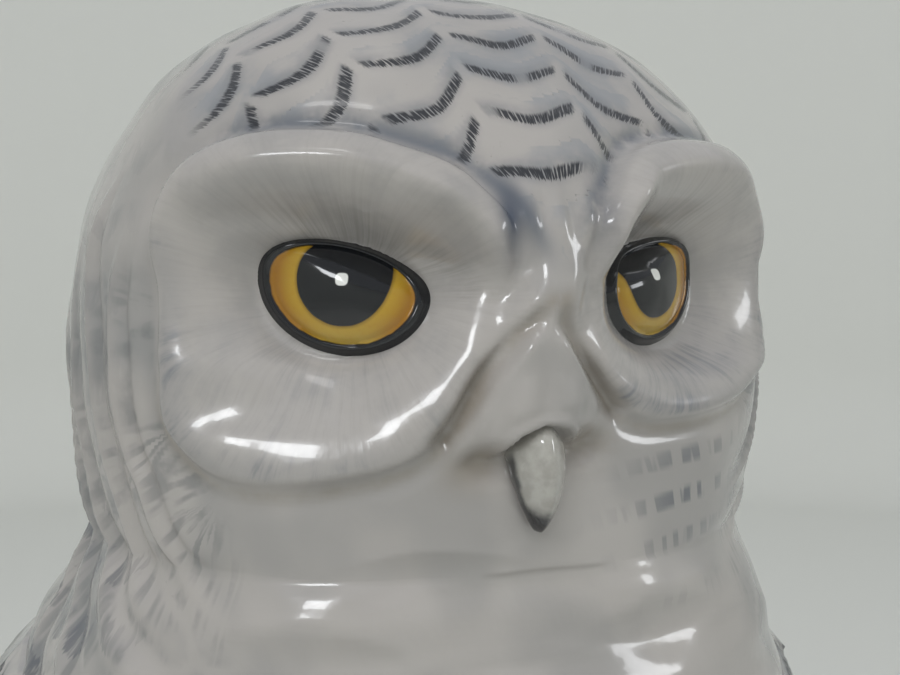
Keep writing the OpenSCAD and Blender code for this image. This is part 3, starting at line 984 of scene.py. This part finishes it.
def white_glaze():
    f = Finish("white_glaze", roughness=0.2, coat=0.5)
    place = f.place()
    place_x, place_y, place_z = f.parts(place)
    along, across, weight = f.fields("tips")
    groove, crown, disc = f.fields("wash")
    fan_x, fan_y, fan_r = f.fields("fan")
    rim_brush_and_shade, low, fleck_zone = f.fields("brush_and_shade")
    plume_along, plume_across, plume_weight = f.fields("plume")
    run, channel, beside = f.fields("collar")
    warm, valley, lid_shade = f.fields("painted_shade_and_wash")

    cloud = f.grain(place, 55.0, 3.0)
    blotch = f.grain(place, 170.0, 4.0, 0.6)
    pool = f.grain(place, 90.0, 2.0, 0.5)
    speck = f.grain(place, 2600.0, 2.0, 0.7)
    fibres = f.grain(f.vector(fan_x * 2.6, fan_y * 2.6, fan_r * 0.05), 2.2, 4.0, 0.65)
    barbs = f.grain(f.vector(run * 0.9, beside * 0.22, 2.0), 1.0, 1.0, 0.5)

    colour = f.blend(f.step(cloud, 0.3, 0.75) * 0.4, CREAM, (0.425, 0.406, 0.39, 1))
    colour = f.blend((1 - disc) * f.step(pool, 0.36, 0.66) * 0.60, colour, (0.255, 0.25, 0.245, 1))
    colour = f.blend(disc * f.step(fibres, 0.42, 0.74) * 0.32, colour, (0.285, 0.277, 0.263, 1))
    colour = f.blend(disc * f.step(blotch, 0.40, 0.68) * 0.38, colour, (0.235, 0.233, 0.232, 1))
    # the disc rim's brush marks, with painted shade on the owl's left disc
    colour = f.blend(rim_brush_and_shade * 0.35, colour, (0.18, 0.183, 0.19, 1))
    # warm brown painted shade in the grooves by the nose and under the discs
    colour = f.blend(warm * 0.62 * f.step(blotch, 0.15, 0.6), colour, WARM_PAINTED_SHADE)
    # painted shade in the fold under the brow, broken into fibre strokes
    colour = f.blend(lid_shade * 0.30 * f.step(fibres, 0.35, 0.7), colour, (0.17, 0.158, 0.14, 1))

    wet = f.step(blotch * 0.5 + pool * 0.5 + 0.10 * (f.step(across, -0.5, 2.6) - 0.5), 0.44, 0.60)
    colour = f.blend(crown * wet * 0.75, colour, SHADE)
    colour = f.blend(groove * f.step(blotch, 0.26, 0.54) * 0.90, colour, BLUE_GREY)
    colour = f.blend(valley * f.step(blotch, 0.20, 0.42), colour, (0.06, 0.072, 0.10, 1))
    halo = weight * f.step(across, -1.4, 0.1) * (1 - f.step(across, 0.4, 2.2)) * f.step(blotch, 0.30, 0.55)
    colour = f.blend(halo * 0.50, colour, BLUE_GREY)

    # the same brush marks and painted shade, broken into fibre strokes
    soft_brush_and_shade = rim_brush_and_shade * f.step(fibres, 0.44, 0.66) * f.step(blotch, 0.40, 0.60)
    colour = f.blend(soft_brush_and_shade * 0.72, colour, (0.15, 0.16, 0.185, 1))
    barbed = channel * f.step(barbs, 0.44, 0.60) * f.step(blotch, 0.36, 0.58)
    colour = f.blend(channel * f.step(pool, 0.36, 0.60) * 0.50, colour, (0.19, 0.197, 0.20, 1))
    colour = f.blend(barbed * 0.45, colour, (0.09, 0.10, 0.11, 1))
    round_cheek = place_x * 780.0 + place_y * 450.0 + place_z * 320.0
    flecks = f.grain(f.vector(round_cheek, 4.0, place_z * 90.0), 1.0, 1.0, 0.5)
    colour = f.blend(fleck_zone * f.step(flecks, 0.47, 0.55) * 0.85, colour, (0.09, 0.10, 0.12, 1))

    wash = plume_weight * f.step(pool, 0.44, 0.60) * f.step(plume_across, -0.6, 0.6) * (
        1 - f.step(plume_across, 1.6, 3.8))
    colour = f.blend(wash * 0.62, colour, BLUE_GREY)
    plume_dash = dashes(f, plume_along, plume_across, 1.5, 0.45, 4.0, 0.46) * plume_weight
    colour = f.blend(plume_dash * (0.40 + 0.45 * low), colour, (0.055, 0.065, 0.085, 1))

    stroke = dashes(f, along, across, 0.60, 0.17, 1.0, 0.36) * weight
    colour = f.blend(stroke * 0.96, colour, STROKE)
    colour = f.blend(f.step(speck, 0.80, 0.86) * 0.4, colour, (0.2, 0.17, 0.13, 1))
    f.colour(colour)
    f.roughness(0.17 + 0.10 * f.step(blotch, 0.3, 0.8))
    f.bump(f.grain(place, 420.0, 2.0) + 0.35 * disc * fibres - 0.12 * stroke, 0.16, 0.35)
    return f


owl_glaze = white_glaze()
hand_in(head, owl_glaze, "white_glaze", "head_casting")
hand_in(body, owl_glaze, "white_glaze", "body_casting")

# %% [markdown]
# ## Painted eyes
# The paint on an eye is drawn in the eye's own plane, in millimetres from its middle: a pupil, the
# iris round it, shaded darker towards the lid, then the black lid line and one white catch-light.


# %% Glaze of the eyes
def eye_glaze():
    f = Finish("eye_glaze", roughness=0.10, coat=0.25)
    u, v, share = f.fields("eye")
    place = f.place()
    wobble = f.grain(place, 700.0, 2.0)
    ray = f.grain(f.vector(u * 0.9, v * 0.9, 0.0), 2.4, 3.0, 0.6)
    pupil_r = (u ** 2 + (v - 0.55) ** 2) ** 0.5 + 0.10 * (wobble - 0.5)
    colour = f.blend(f.step(pupil_r, 3.9, 5.6), (0.41, 0.255, 0.022, 1), (0.30, 0.135, 0.008, 1))
    glow = f.step(0 - v, 2.4, 4.6) * (1 - f.step(abs(u), 1.5, 4.5))
    colour = f.blend(glow * 0.7, colour, (0.43, 0.315, 0.05, 1))
    colour = f.blend(f.step(ray, 0.45, 0.75) * 0.25, colour, (0.36, 0.17, 0.01, 1))
    colour = f.blend((1 - f.step(pupil_r, 3.65, 4.0)) * 0.6, colour, (0.11, 0.06, 0.01, 1))
    black = (0.006, 0.007, 0.009, 1)
    colour = f.blend(1 - f.step(pupil_r, 3.62, 3.74), colour, black)
    lid = f.step(share + 0.05 * (wobble - 0.5), 0.84, 0.865)
    colour = f.blend(lid, colour, black)
    # a painted highlight: the white catch-light in each pupil
    dot = (abs(u) ** 3 + abs(v - 0.45) ** 3) ** 0.333
    colour = f.blend(1 - f.step(dot, 0.44, 0.54), colour, (0.72, 0.73, 0.70, 1))
    f.colour(colour)
    f.bump(wobble, 0.04, 0.3)
    return f


eyes = eye_glaze()
hand_in(right_eye, eyes, "eye_glaze", "right_eye")
hand_in(left_eye, eyes, "eye_glaze", "left_eye")


# %% Glaze of the beak
def beak_glaze():
    f = Finish("beak_glaze", roughness=0.14, coat=0.8)
    t, ridge, side = f.fields("beak")
    wobble = f.grain(f.place(), 900.0, 3.0)
    colour = f.blend(f.step(wobble, 0.3, 0.7), (0.29, 0.28, 0.255, 1), (0.38, 0.37, 0.34, 1))
    tip = f.step(t + 0.18 * (wobble - 0.5) - 0.08 * ridge, 0.64, 0.78)
    edge = f.step(abs(side) + 0.25 * (wobble - 0.5) - 0.30 * ridge, 0.74, 0.92) * f.step(t, 0.20, 0.36)
    colour = f.blend(edge * 0.92, colour, (0.03, 0.032, 0.035, 1))
    colour = f.blend(tip, colour, (0.012, 0.012, 0.014, 1))
    f.colour(colour)
    f.bump(wobble, 0.05, 0.3)
    return f


hand_in(beak, beak_glaze(), "beak_glaze", "beak")

# %% [markdown]
# ## Folded wings
# A wing is a shell that lies on the flank. Its plan is a patch of the body's smooth form between the
# front edge and the slanting inner edge. A flat grid is extruded into an inner and an outer sheet,
# and both are laid on the form: the outer one carries rows of coverts at the shoulder and long flight
# feathers that lap over each other down to the tip.

# %% Model the wings
# the front edge: share of the height from tip to shoulder, share of the half depth
wing_front = [(0.0, 0.62), (0.03, 0.45), (0.20, 0.05), (0.42, -0.25), (0.62, -0.38), (0.80, -0.40),
              (0.93, -0.30), (1.0, -0.10)]
WING_TIP_HALF_GAP, WING_TOP_HALF_GAP = 2.5, 15.0
WING_ACROSS, WING_DOWN = 110, 200
FLIGHT_FEATHERS = 7
COVERT_ROW, COVERT_W, COVERT_SAG = 8.5, 9.5, 3.4
COVERTS_LONG = 40.0                    # how far down the wing the coverts reach


def wing_piece(side, name):
    bm, flat, outer = double_sheet(WING_ACROSS, WING_DOWN)
    u, v = (flat[:, 0] + 1) / 2, (flat[:, 1] + 1) / 2
    low, high = wing_low[2], wing_high[2]
    shares, fronts = np.array(wing_front).T
    feather = u * FLIGHT_FEATHERS
    across_feather = feather - np.floor(np.clip(feather, 0, FLIGHT_FEATHERS - 0.01))
    scallop = 2.6 * (1 - np.abs(2 * across_feather - 1) ** 2.5)
    start = low + 22 * (1 - u) ** 1.7 - scallop + 2.6
    top = high - 9 * np.abs(2 * u - 1) ** 3.2
    z = start + (top - start) * v
    share = np.clip((z - low) / (high - low), 0, 1)
    half_w, half_d, shift, _ = ring_sizes(z)
    front = np.interp(share, shares, fronts) * BODY_HALF_D
    front_turn = np.arccos(np.clip((shift - front) / half_d, -1, 1))
    inner_x = WING_TIP_HALF_GAP + (WING_TOP_HALF_GAP - WING_TIP_HALF_GAP) * share
    inner_turn = math.pi - np.arcsin(np.clip(inner_x / half_w, -1, 1))
    turn = front_turn + (inner_turn - front_turn) * u
    width = (inner_turn - front_turn) * half_w
    down = (1 - v) * (top - start)

    # rows of coverts over the shoulder
    slant = down + 5.0 * (1 - u)

    def along_row(row):
        return u * width.max() * 0.92 + 0 * row, 0 * row

    along, across, luck, parting = nearest_tip(-slant, along_row, COVERT_ROW, COVERT_W, COVERT_SAG, 5.2)
    covert = soft((COVERTS_LONG - slant) / 5)
    # long feathers that narrow towards the tip
    lane = u * FLIGHT_FEATHERS + 0.9 * (1 - v) * (1 - u)
    part = lane - np.floor(lane)
    blade = 0.75 * part ** 1.4 - 0.75 * soft((part - 0.93) / 0.07)
    shaft = 0.16 * bell((part - 0.5) / 0.07)
    edge_in, edge_out = soft(u / 0.10) ** 0.5, soft((1 - u) / 0.07) ** 0.5
    thick = 0.35 + 1.9 * edge_in * edge_out * soft((1 - v) / 0.10) ** 0.6 * (0.35 + 0.65 * soft(v / 0.3))
    relief = covert * lap(across, 0.75, 0.7) + (1 - covert) * (blade + shaft) * soft(v / 0.04 + 0.3)
    grow = np.where(outer, thick + relief * edge_in * edge_out, -0.5)
    move_points(bm, form_point(-side * turn, z, grow))
    bmesh.ops.recalc_face_normals(bm, faces=bm.faces)
    piece = piece_from(bm, name, sharp=math.radians(62))
    store(piece, "tips", along + 20 * luck, across, covert * soft((parting - 0.9) / 0.7))
    store(piece, "blade", part, down + 2.2 * np.floor(lane), (1 - covert) * soft(v / 0.06))
    return piece


def wing_glaze():
    f = Finish("wing_glaze", roughness=0.2, coat=0.7)
    place = f.place()
    along, across, weight = f.fields("tips")
    part, down, flight = f.fields("blade")
    cloud = f.grain(place, 55.0, 3.0)
    blotch = f.grain(place, 170.0, 4.0, 0.6)
    pool = f.grain(place, 90.0, 2.0, 0.5)
    colour = f.blend(f.step(cloud, 0.3, 0.75) * 0.4, (0.40, 0.382, 0.365, 1), (0.45, 0.435, 0.42, 1))
    colour = f.blend(f.step(blotch * 0.5 + pool * 0.5, 0.44, 0.62) * 0.6, colour, SHADE)
    gap = f.step(abs(part - 0.5), 0.40, 0.5) * flight
    colour = f.blend(gap * 0.5, colour, BLUE_GREY)
    bow = 2.2 * (part - 0.5) * (part - 0.5) * 4
    wave = f.node("ShaderNodeMath", [(down + bow) * (1 / 9.0)], operation="FRACT")
    dry = f.grain(f.vector(part * 9.0, down * 0.25, 1.0), 1.0, 2.0, 0.6)
    bar = (1 - f.step(abs(wave - 0.5), 0.13, 0.19)) * f.step(dry, 0.38, 0.50)
    bar = bar * f.step(part, 0.06, 0.12) * (1 - f.step(part, 0.86, 0.94)) * flight
    colour = f.blend(bar * 0.80, colour, (0.05, 0.058, 0.075, 1))
    halo = weight * f.step(across, -1.0, 0.3) * (1 - f.step(across, 1.2, 3.6)) * f.step(blotch, 0.30, 0.55)
    colour = f.blend(halo * 0.55, colour, BLUE_GREY)
    stroke = dashes(f, along, across, 1.5, 0.36, 2.0, 0.38) * weight
    colour = f.blend(stroke * 0.92, colour, (0.03, 0.034, 0.042, 1))
    f.colour(colour)
    f.roughness(0.17 + 0.10 * f.step(blotch, 0.3, 0.8))
    vane = f.grain(f.vector(part * 30.0, down * 1.5, 0.0), 1.0, 2.0)
    f.bump(f.grain(place, 420.0, 2.0) + 0.4 * vane, 0.10, 0.4)
    return f


feather_glaze = wing_glaze()
left_wing_piece = wing_piece(1, "wing_left")
right_wing_piece = wing_piece(-1, "wing_right")
hand_in(left_wing_piece, feather_glaze, "wing_glaze", "left_wing")
hand_in(right_wing_piece, feather_glaze, "wing_glaze", "right_wing")

# %% [markdown]
# ## The tail
# The tail is a fan of seven feathers under the wing tips. It is the same kind of grid and extrusion,
# laid on a plane that slopes out to the edge of the base. The middle feather is on top, and the
# others step down to both sides.

# %% Model the tail
TAIL_FEATHERS = 7
TAIL_THICK = 3.0
TAIL_ACROSS, TAIL_DOWN = 112, 90


def tail_piece():
    bm, flat, outer = double_sheet(TAIL_ACROSS, TAIL_DOWN)
    u, v = flat[:, 0], (flat[:, 1] + 1) / 2
    root = np.array([body_high[1] - 5.0, tail_high[2] + 8.0])
    tip = np.array([tail_high[1] - 2.6, tail_low[2] + 0.4])
    run = tip - root
    length = float(np.hypot(*run))
    way, out = run / length, np.array([-run[1], run[0]]) / length
    lane = (u + 1) / 2 * TAIL_FEATHERS
    part = lane - np.floor(np.clip(lane, 0, TAIL_FEATHERS - 0.001))
    rounded = 1.9 * np.abs(2 * part - 1) ** 2.2 + 3.4 * u * u
    along = v * (length - rounded)
    half = tail_high[0] * (0.64 + 0.36 * v)
    tuck = 1 - soft((np.abs(2 * part - 1) - 0.9) / 0.1)
    step = 1.6 * (1 - np.abs(u)) + 0.55 * np.where(u > 0, 1 - part, part) * tuck
    shaft = 0.14 * bell((part - 0.5) / 0.06)
    edge = soft((1 - np.abs(u)) / 0.08) ** 0.5 * soft((1 - v) / 0.05) ** 0.5
    height = np.where(outer, TAIL_THICK / 2 + step + shaft, -TAIL_THICK / 2) * (0.25 + 0.75 * edge)
    y = root[0] + way[0] * along + out[0] * height
    z = root[1] + way[1] * along + out[1] * height
    move_points(bm, np.stack([u * half, y, np.maximum(z, tail_low[2])], axis=-1))
    bmesh.ops.recalc_face_normals(bm, faces=bm.faces)
    piece = piece_from(bm, "tail_fan", sharp=math.radians(62))
    store(piece, "tips", 0 * u, 0 * u, 0 * u)
    store(piece, "blade", part, along + 1.7 * np.floor(lane), np.ones(len(u)))
    return piece


tail = tail_piece()
hand_in(tail, feather_glaze, "wing_glaze", "tail")

# %% [markdown]
# ## Feet and talons
# Snowy owls have feathers down to their claws. Each foot is a ball drawn out into three toes: from the
# heel, every direction reaches as far as the round toe that lies nearest to it. Tufts are combed along
# the toes. The talons are small horns swept along an arc, like the beak.

# %% Model the feet
TOE_TURNS = np.radians([-24, 0, 24])
TOE_R = 4.1
foot_front = foot_low[1]
FOOT_X = (foot_low[0] + foot_high[0]) / 2
HEEL = np.array([FOOT_X, foot_front + 16.5 + TOE_R, foot_low[2] + TOE_R])
TOE_REACH = HEEL[1] - foot_front - TOE_R


def foot_piece(side, name):
    bm = bmesh.new()
    bmesh.ops.create_uvsphere(bm, u_segments=120, v_segments=80, radius=1)
    way = points_of(bm)
    reach = np.full(len(way), TOE_R * 1.15)
    lane = np.zeros(len(way))
    for turn in TOE_TURNS:
        toe = np.array([math.sin(turn), -math.cos(turn), -0.06])
        toe /= np.linalg.norm(toe)
        c = way @ toe
        s = np.sqrt(np.maximum(1 - c * c, 1e-9))
        tube = TOE_R * (1.05 - 0.12 * np.clip(c, 0, 1)) / s
        cap = TOE_REACH * c + np.sqrt(np.maximum(TOE_R ** 2 - (TOE_REACH * s) ** 2, 0))
        on_cap = (c > 0) & (tube * c > TOE_REACH)
        far = np.where(c <= 0, TOE_R, np.where(on_cap, cap, tube))
        nearer = far > reach
        reach = np.where(nearer, far, reach)
        lane = np.where(nearer, turn, lane)
    points = way * reach[:, None]
    tuft = rough_wave(np.stack([points[:, 0] * 3.0, points[:, 1], points[:, 2] * 2.2], axis=-1), 4.0, 3)
    points += way * (0.32 * tuft)[:, None]
    points += np.array([side * HEEL[0], HEEL[1], HEEL[2]])
    points[:, 2] = np.maximum(points[:, 2], foot_low[2] - 0.4)
    move_points(bm, points)
    piece = piece_from(bm, name)
    store(piece, "comb", way[:, 0] * 6, reach, way[:, 2])
    return piece


def foot_glaze():
    f = Finish("foot_glaze", roughness=0.22, coat=0.6)
    across, reach, up = f.fields("comb")
    strands = f.grain(f.vector(across * 1.6, reach * 0.16, up * 3.0), 1.6, 3.0, 0.6)
    blotch = f.grain(f.place(), 240.0, 3.0, 0.6)
    colour = f.blend(f.step(strands, 0.42, 0.66) * 0.45, CREAM, SHADE)
    # warm painted shade on the underside of each foot
    colour = f.blend((1 - f.step(up, -0.25, 0.25)) * 0.5 * f.step(blotch, 0.3, 0.6), colour, WARM_PAINTED_SHADE)
    f.colour(colour)
    f.bump(strands, 0.35, 0.7)
    return f


# %% Model the talons
TALON_LONG = 5.2
TALON_HALF = 1.5
TALON_START, TALON_TURN = math.radians(4), math.radians(62)


def talon_piece(side, name):
    bm = bmesh.new()
    for turn in TOE_TURNS:
        horn = bmesh.ops.create_uvsphere(bm, u_segments=24, v_segments=24, radius=1)["verts"]
        t, c, s = round_ball(np.array([v.co for v in horn]))
        full = np.interp(t, [0, 0.05, 0.2, 0.5, 0.8, 0.95, 1.0], [0, 0.7, 1.0, 0.78, 0.42, 0.18, 0])
        radius = TALON_LONG / TALON_TURN
        angle = TALON_START + TALON_TURN * t
        ahead = radius * (np.sin(angle) - math.sin(TALON_START))
        drop = radius * (np.cos(angle) - math.cos(TALON_START))
        thick = TALON_HALF * full
        local_y = -ahead - thick * s * np.sin(angle)
        local_z = drop + thick * s * np.cos(angle)
        local_x = thick * c * 0.85
        reach = TOE_REACH + TOE_R - 1.6
        x = local_x * math.cos(turn) - (local_y - reach) * math.sin(turn)
        y = local_x * math.sin(turn) + (local_y - reach) * math.cos(turn)
        z = HEEL[2] + 0.5 + local_z
        places = np.stack([side * HEEL[0] + x, HEEL[1] + y, np.maximum(z, foot_low[2])], axis=-1)
        for vert, place in zip(horn, places):
            vert.co = place
    bmesh.ops.recalc_face_normals(bm, faces=bm.faces)
    return piece_from(bm, name)


def talon_glaze():
    f = Finish("talon_glaze", roughness=0.12, coat=1.0)
    wobble = f.grain(f.place(), 900.0, 2.0)
    f.colour(f.blend(f.step(wobble, 0.35, 0.7), (0.010, 0.010, 0.012, 1), (0.03, 0.03, 0.033, 1)))
    return f


feather_foot, black_talon = foot_glaze(), talon_glaze()
for side, label in ((1, "left"), (-1, "right")):
    hand_in(foot_piece(side, "foot_" + label), feather_foot, "white_glaze", label + "_foot")
    hand_in(talon_piece(side, "talons_" + label), black_talon, "black_glaze", label + "_talons")

# %% [markdown]
# ## The rock base
# A line of points runs from the middle of the top, over the edge, down to the foot rim and up inside
# the hollow underneath, and is spun into a closed shell. Ledges and dents are then pushed into the
# sides, the top stays flat where the owl stands, and the foot rim stays bare of glaze.

# %% Model the base
BASE_HALF_W, BASE_HALF_D, BASE_H = 45.0, 52.0, base_high[2]
RIM_W = 10.0
BASE_COLUMNS = 260
CEILING_ROWS = 14                      # rows from the hollow's wall to its middle


def base_piece():
    top = [(t, BASE_H) for t in np.linspace(0.002, 0.84, 46)]
    edge = [(0.865, BASE_H - 0.3), (0.885, BASE_H - 0.9), (0.90, BASE_H - 1.7)]
    wall = [(np.interp(z, [0.6, 5, 12.8, BASE_H - 2.4], [0.995, 1.0, 0.965, 0.915]), z)
            for z in np.linspace(BASE_H - 2.4, 0.6, 34)]
    foot = [(0.985, 0.12), (0.97, 0.0)]
    profile = top + edge + wall + foot
    inside_rows = [(0.0, 0.0), (0.3, 0.25), (0.5, 1.0), (0.5, 6.0), (0.6, BASE_H - 5.2), (1.4, BASE_H - 4.2)]
    count = len(profile) + len(inside_rows) + CEILING_ROWS
    bm = spun_row([(1.0, 0.0, float(k)) for k in range(count)], BASE_COLUMNS)
    flat = points_of(bm)
    k = np.round(flat[:, 2]).astype(int)
    a = np.arctan2(flat[:, 1], flat[:, 0])
    lump = 1 - 0.018 * (1 + np.sin(5 * a + math.radians(40))) - 0.012 * (1 + np.cos(8 * a))
    outline_x = BASE_HALF_W * lump * np.cos(a)
    outline_y = BASE_HALF_D * (lump + (1 - lump) * np.abs(np.sin(a))) * np.sin(a)
    rim_x, rim_y = (BASE_HALF_W - RIM_W) * np.cos(a), (BASE_HALF_D - RIM_W) * np.sin(a)
    shares, heights = np.array(profile).T
    n = len(profile)
    outer = k < n
    share = shares[np.clip(k, 0, n - 1)]
    inner = np.clip(k - n, 0, len(inside_rows) - 1)
    inset, inside_z = np.array(inside_rows)[inner].T
    ceiling = np.clip((k - n - len(inside_rows) + 1) / CEILING_ROWS, 0, 1)
    shrink = np.where(k >= n, 1 - inset / BASE_HALF_W, 1) * (1 - 0.998 * ceiling)
    x = np.where(outer, outline_x * share, rim_x * shrink)
    y = np.where(outer, outline_y * share, rim_y * shrink)
    z = np.where(outer, heights[np.clip(k, 0, n - 1)], inside_z)
    points = np.stack([x, y, z], axis=-1)
    ridged = 1 - 2 * np.abs(rough_wave(points * np.array([1, 1, 1.8]), 11.0, 31))
    chips = np.round(rough_wave(points * np.array([1, 1, 0.6]), 7.0, 12) * 2.2) / 2.2
    radial = np.stack([np.cos(a), np.sin(a), 0 * a], axis=-1)
    on_side = outer * soft((share - 0.80) / 0.1) * soft((z - 0.8) / 2.5)
    on_top = outer * soft((0.90 - share) / 0.1) * soft((share - 0.74) / 0.1)
    points -= radial * (on_side * (0.9 + 0.75 * ridged + 0.45 * chips))[:, None]
    points[:, 2] -= (on_top + on_side * soft((z - BASE_H + 4) / 3)) * (0.35 + 0.30 * ridged)
    move_points(bm, points)
    for low_end in (True, False):
        ring = [e for e in bm.edges if e.is_boundary and (e.verts[0].co.z < BASE_H - 2) == low_end]
        bmesh.ops.contextual_create(bm, geom=ring)
    bmesh.ops.recalc_face_normals(bm, faces=bm.faces)
    piece = piece_from(bm, "rock", sharp=math.radians(50))
    store(piece, "rock", ridged, on_side, np.where(outer, 0.0, 1.0))
    return piece


def rock_glaze():
    f = Finish("rock_glaze", roughness=0.24, coat=0.55)
    ridged, side, hollow = f.fields("rock")
    place = f.place()
    height = f.parts(place)[2]
    cloud = f.grain(place, 70.0, 4.0, 0.6)
    streak = f.grain(place, 210.0, 5.0, 0.65)
    colour = f.blend(f.step(cloud, 0.35, 0.65), (0.25, 0.26, 0.275, 1), (0.38, 0.372, 0.355, 1))
    # painted shade: dark blue-grey patches over the rock's sides, where the ridged noise is low
    painted_side_shade = side * f.step(0 - ridged + 0.8 * (streak - 0.5), -0.45, 0.35)
    colour = f.blend(painted_side_shade * 0.70, colour, (0.105, 0.115, 0.13, 1))
    colour = f.blend(side * f.step(streak, 0.52, 0.68) * 0.5, colour, (0.28, 0.22, 0.15, 1))
    colour = f.blend((1 - side) * f.step(streak, 0.5, 0.7) * 0.3, colour, SHADE)
    bare = f.step(0.0009 - height, 0.0, 0.0005)
    colour = f.blend(bare, colour, (0.60, 0.52, 0.42, 1))
    colour = f.blend(hollow * (1 - bare) * 0.6, colour, (0.40, 0.388, 0.365, 1))
    f.colour(colour)
    f.roughness(0.22 + 0.5 * bare + 0.1 * f.step(streak, 0.3, 0.8))
    f.bump(streak + 0.5 * f.grain(place, 700.0, 3.0), 0.35, 0.6)
    return f


hand_in(base_piece(), rock_glaze(), "rock_glaze", "rock_base")


# %% [markdown]
# ## Stage and light
# A pale round sweep stands behind the owl from every side. One large soft light stands high in front.
# It lights the glaze but isn't mirrored in it, because only small highlights belong there: a lamp above
# gives the one along each brow, and window-shaped lights on both sides give those on the cheeks and
# eyes. A dim even sky fills the shadows.

# %% The sweep
SWEEP_R = 640.0
SWEEP_FILLET = 70.0
SWEEP_H = 520.0


def sweep_piece():
    corner = [(SWEEP_R - SWEEP_FILLET + SWEEP_FILLET * math.sin(t), SWEEP_FILLET - SWEEP_FILLET * math.cos(t))
              for t in np.linspace(0, math.pi / 2, 12)]
    outline = [(0.0, 0.0), (SWEEP_R / 2, 0.0)] + corner + [(SWEEP_R, SWEEP_H)]
    bm = spun_row([(x, 0, z) for x, z in outline], 96)
    bmesh.ops.remove_doubles(bm, verts=bm.verts, dist=1e-4)
    return piece_from(bm, "sweep")


sweep = sweep_piece()
paper = bpy.data.materials.new("pale_paper")
paper.use_nodes = True
paper.node_tree.nodes["Principled BSDF"].inputs["Base Color"].default_value = (0.768, 0.775, 0.743, 1)
paper.node_tree.nodes["Principled BSDF"].inputs["Roughness"].default_value = 0.9
sweep.data.materials.append(paper)


# %% Lights
def softbox(name, azimuth, el, away, size, watts, colour=(1, 1, 1)):
    """A rectangular light that faces the head from angles round it. Azimuth runs towards the owl's right."""
    data = bpy.data.lights.new(name, "AREA")
    data.shape = "RECTANGLE"
    data.size, data.size_y = size[0] * MM, size[1] * MM
    data.energy = watts
    data.color = colour
    light = bpy.data.objects.new(name, data)
    out = Vector(face_direction(azimuth, el))
    light.location = Vector(HEAD_MID * MM) + out * away * MM
    light.rotation_euler = (-out).to_track_quat("-Z", "Y").to_euler()
    bpy.context.collection.objects.link(light)
    return light


softbox("overhead", 20, 52, 620, (640, 420), 2.0).visible_glossy = False
softbox("ceiling", 40, 64, 620, (120, 80), 0.10)
softbox("window", 46, 30, 520, (90, 85), 0.34, (0.95, 0.97, 1))
softbox("far_window", -62, 18, 520, (90, 110), 0.20, (0.95, 0.97, 1))

sky = bpy.data.worlds.new("sky")
sky.use_nodes = True
sky.node_tree.nodes["Background"].inputs["Color"].default_value = (0.93, 0.96, 1, 1)
sky.node_tree.nodes["Background"].inputs["Strength"].default_value = 0.46
bpy.context.scene.world = sky
bpy.context.scene.view_settings.view_transform = "Standard"
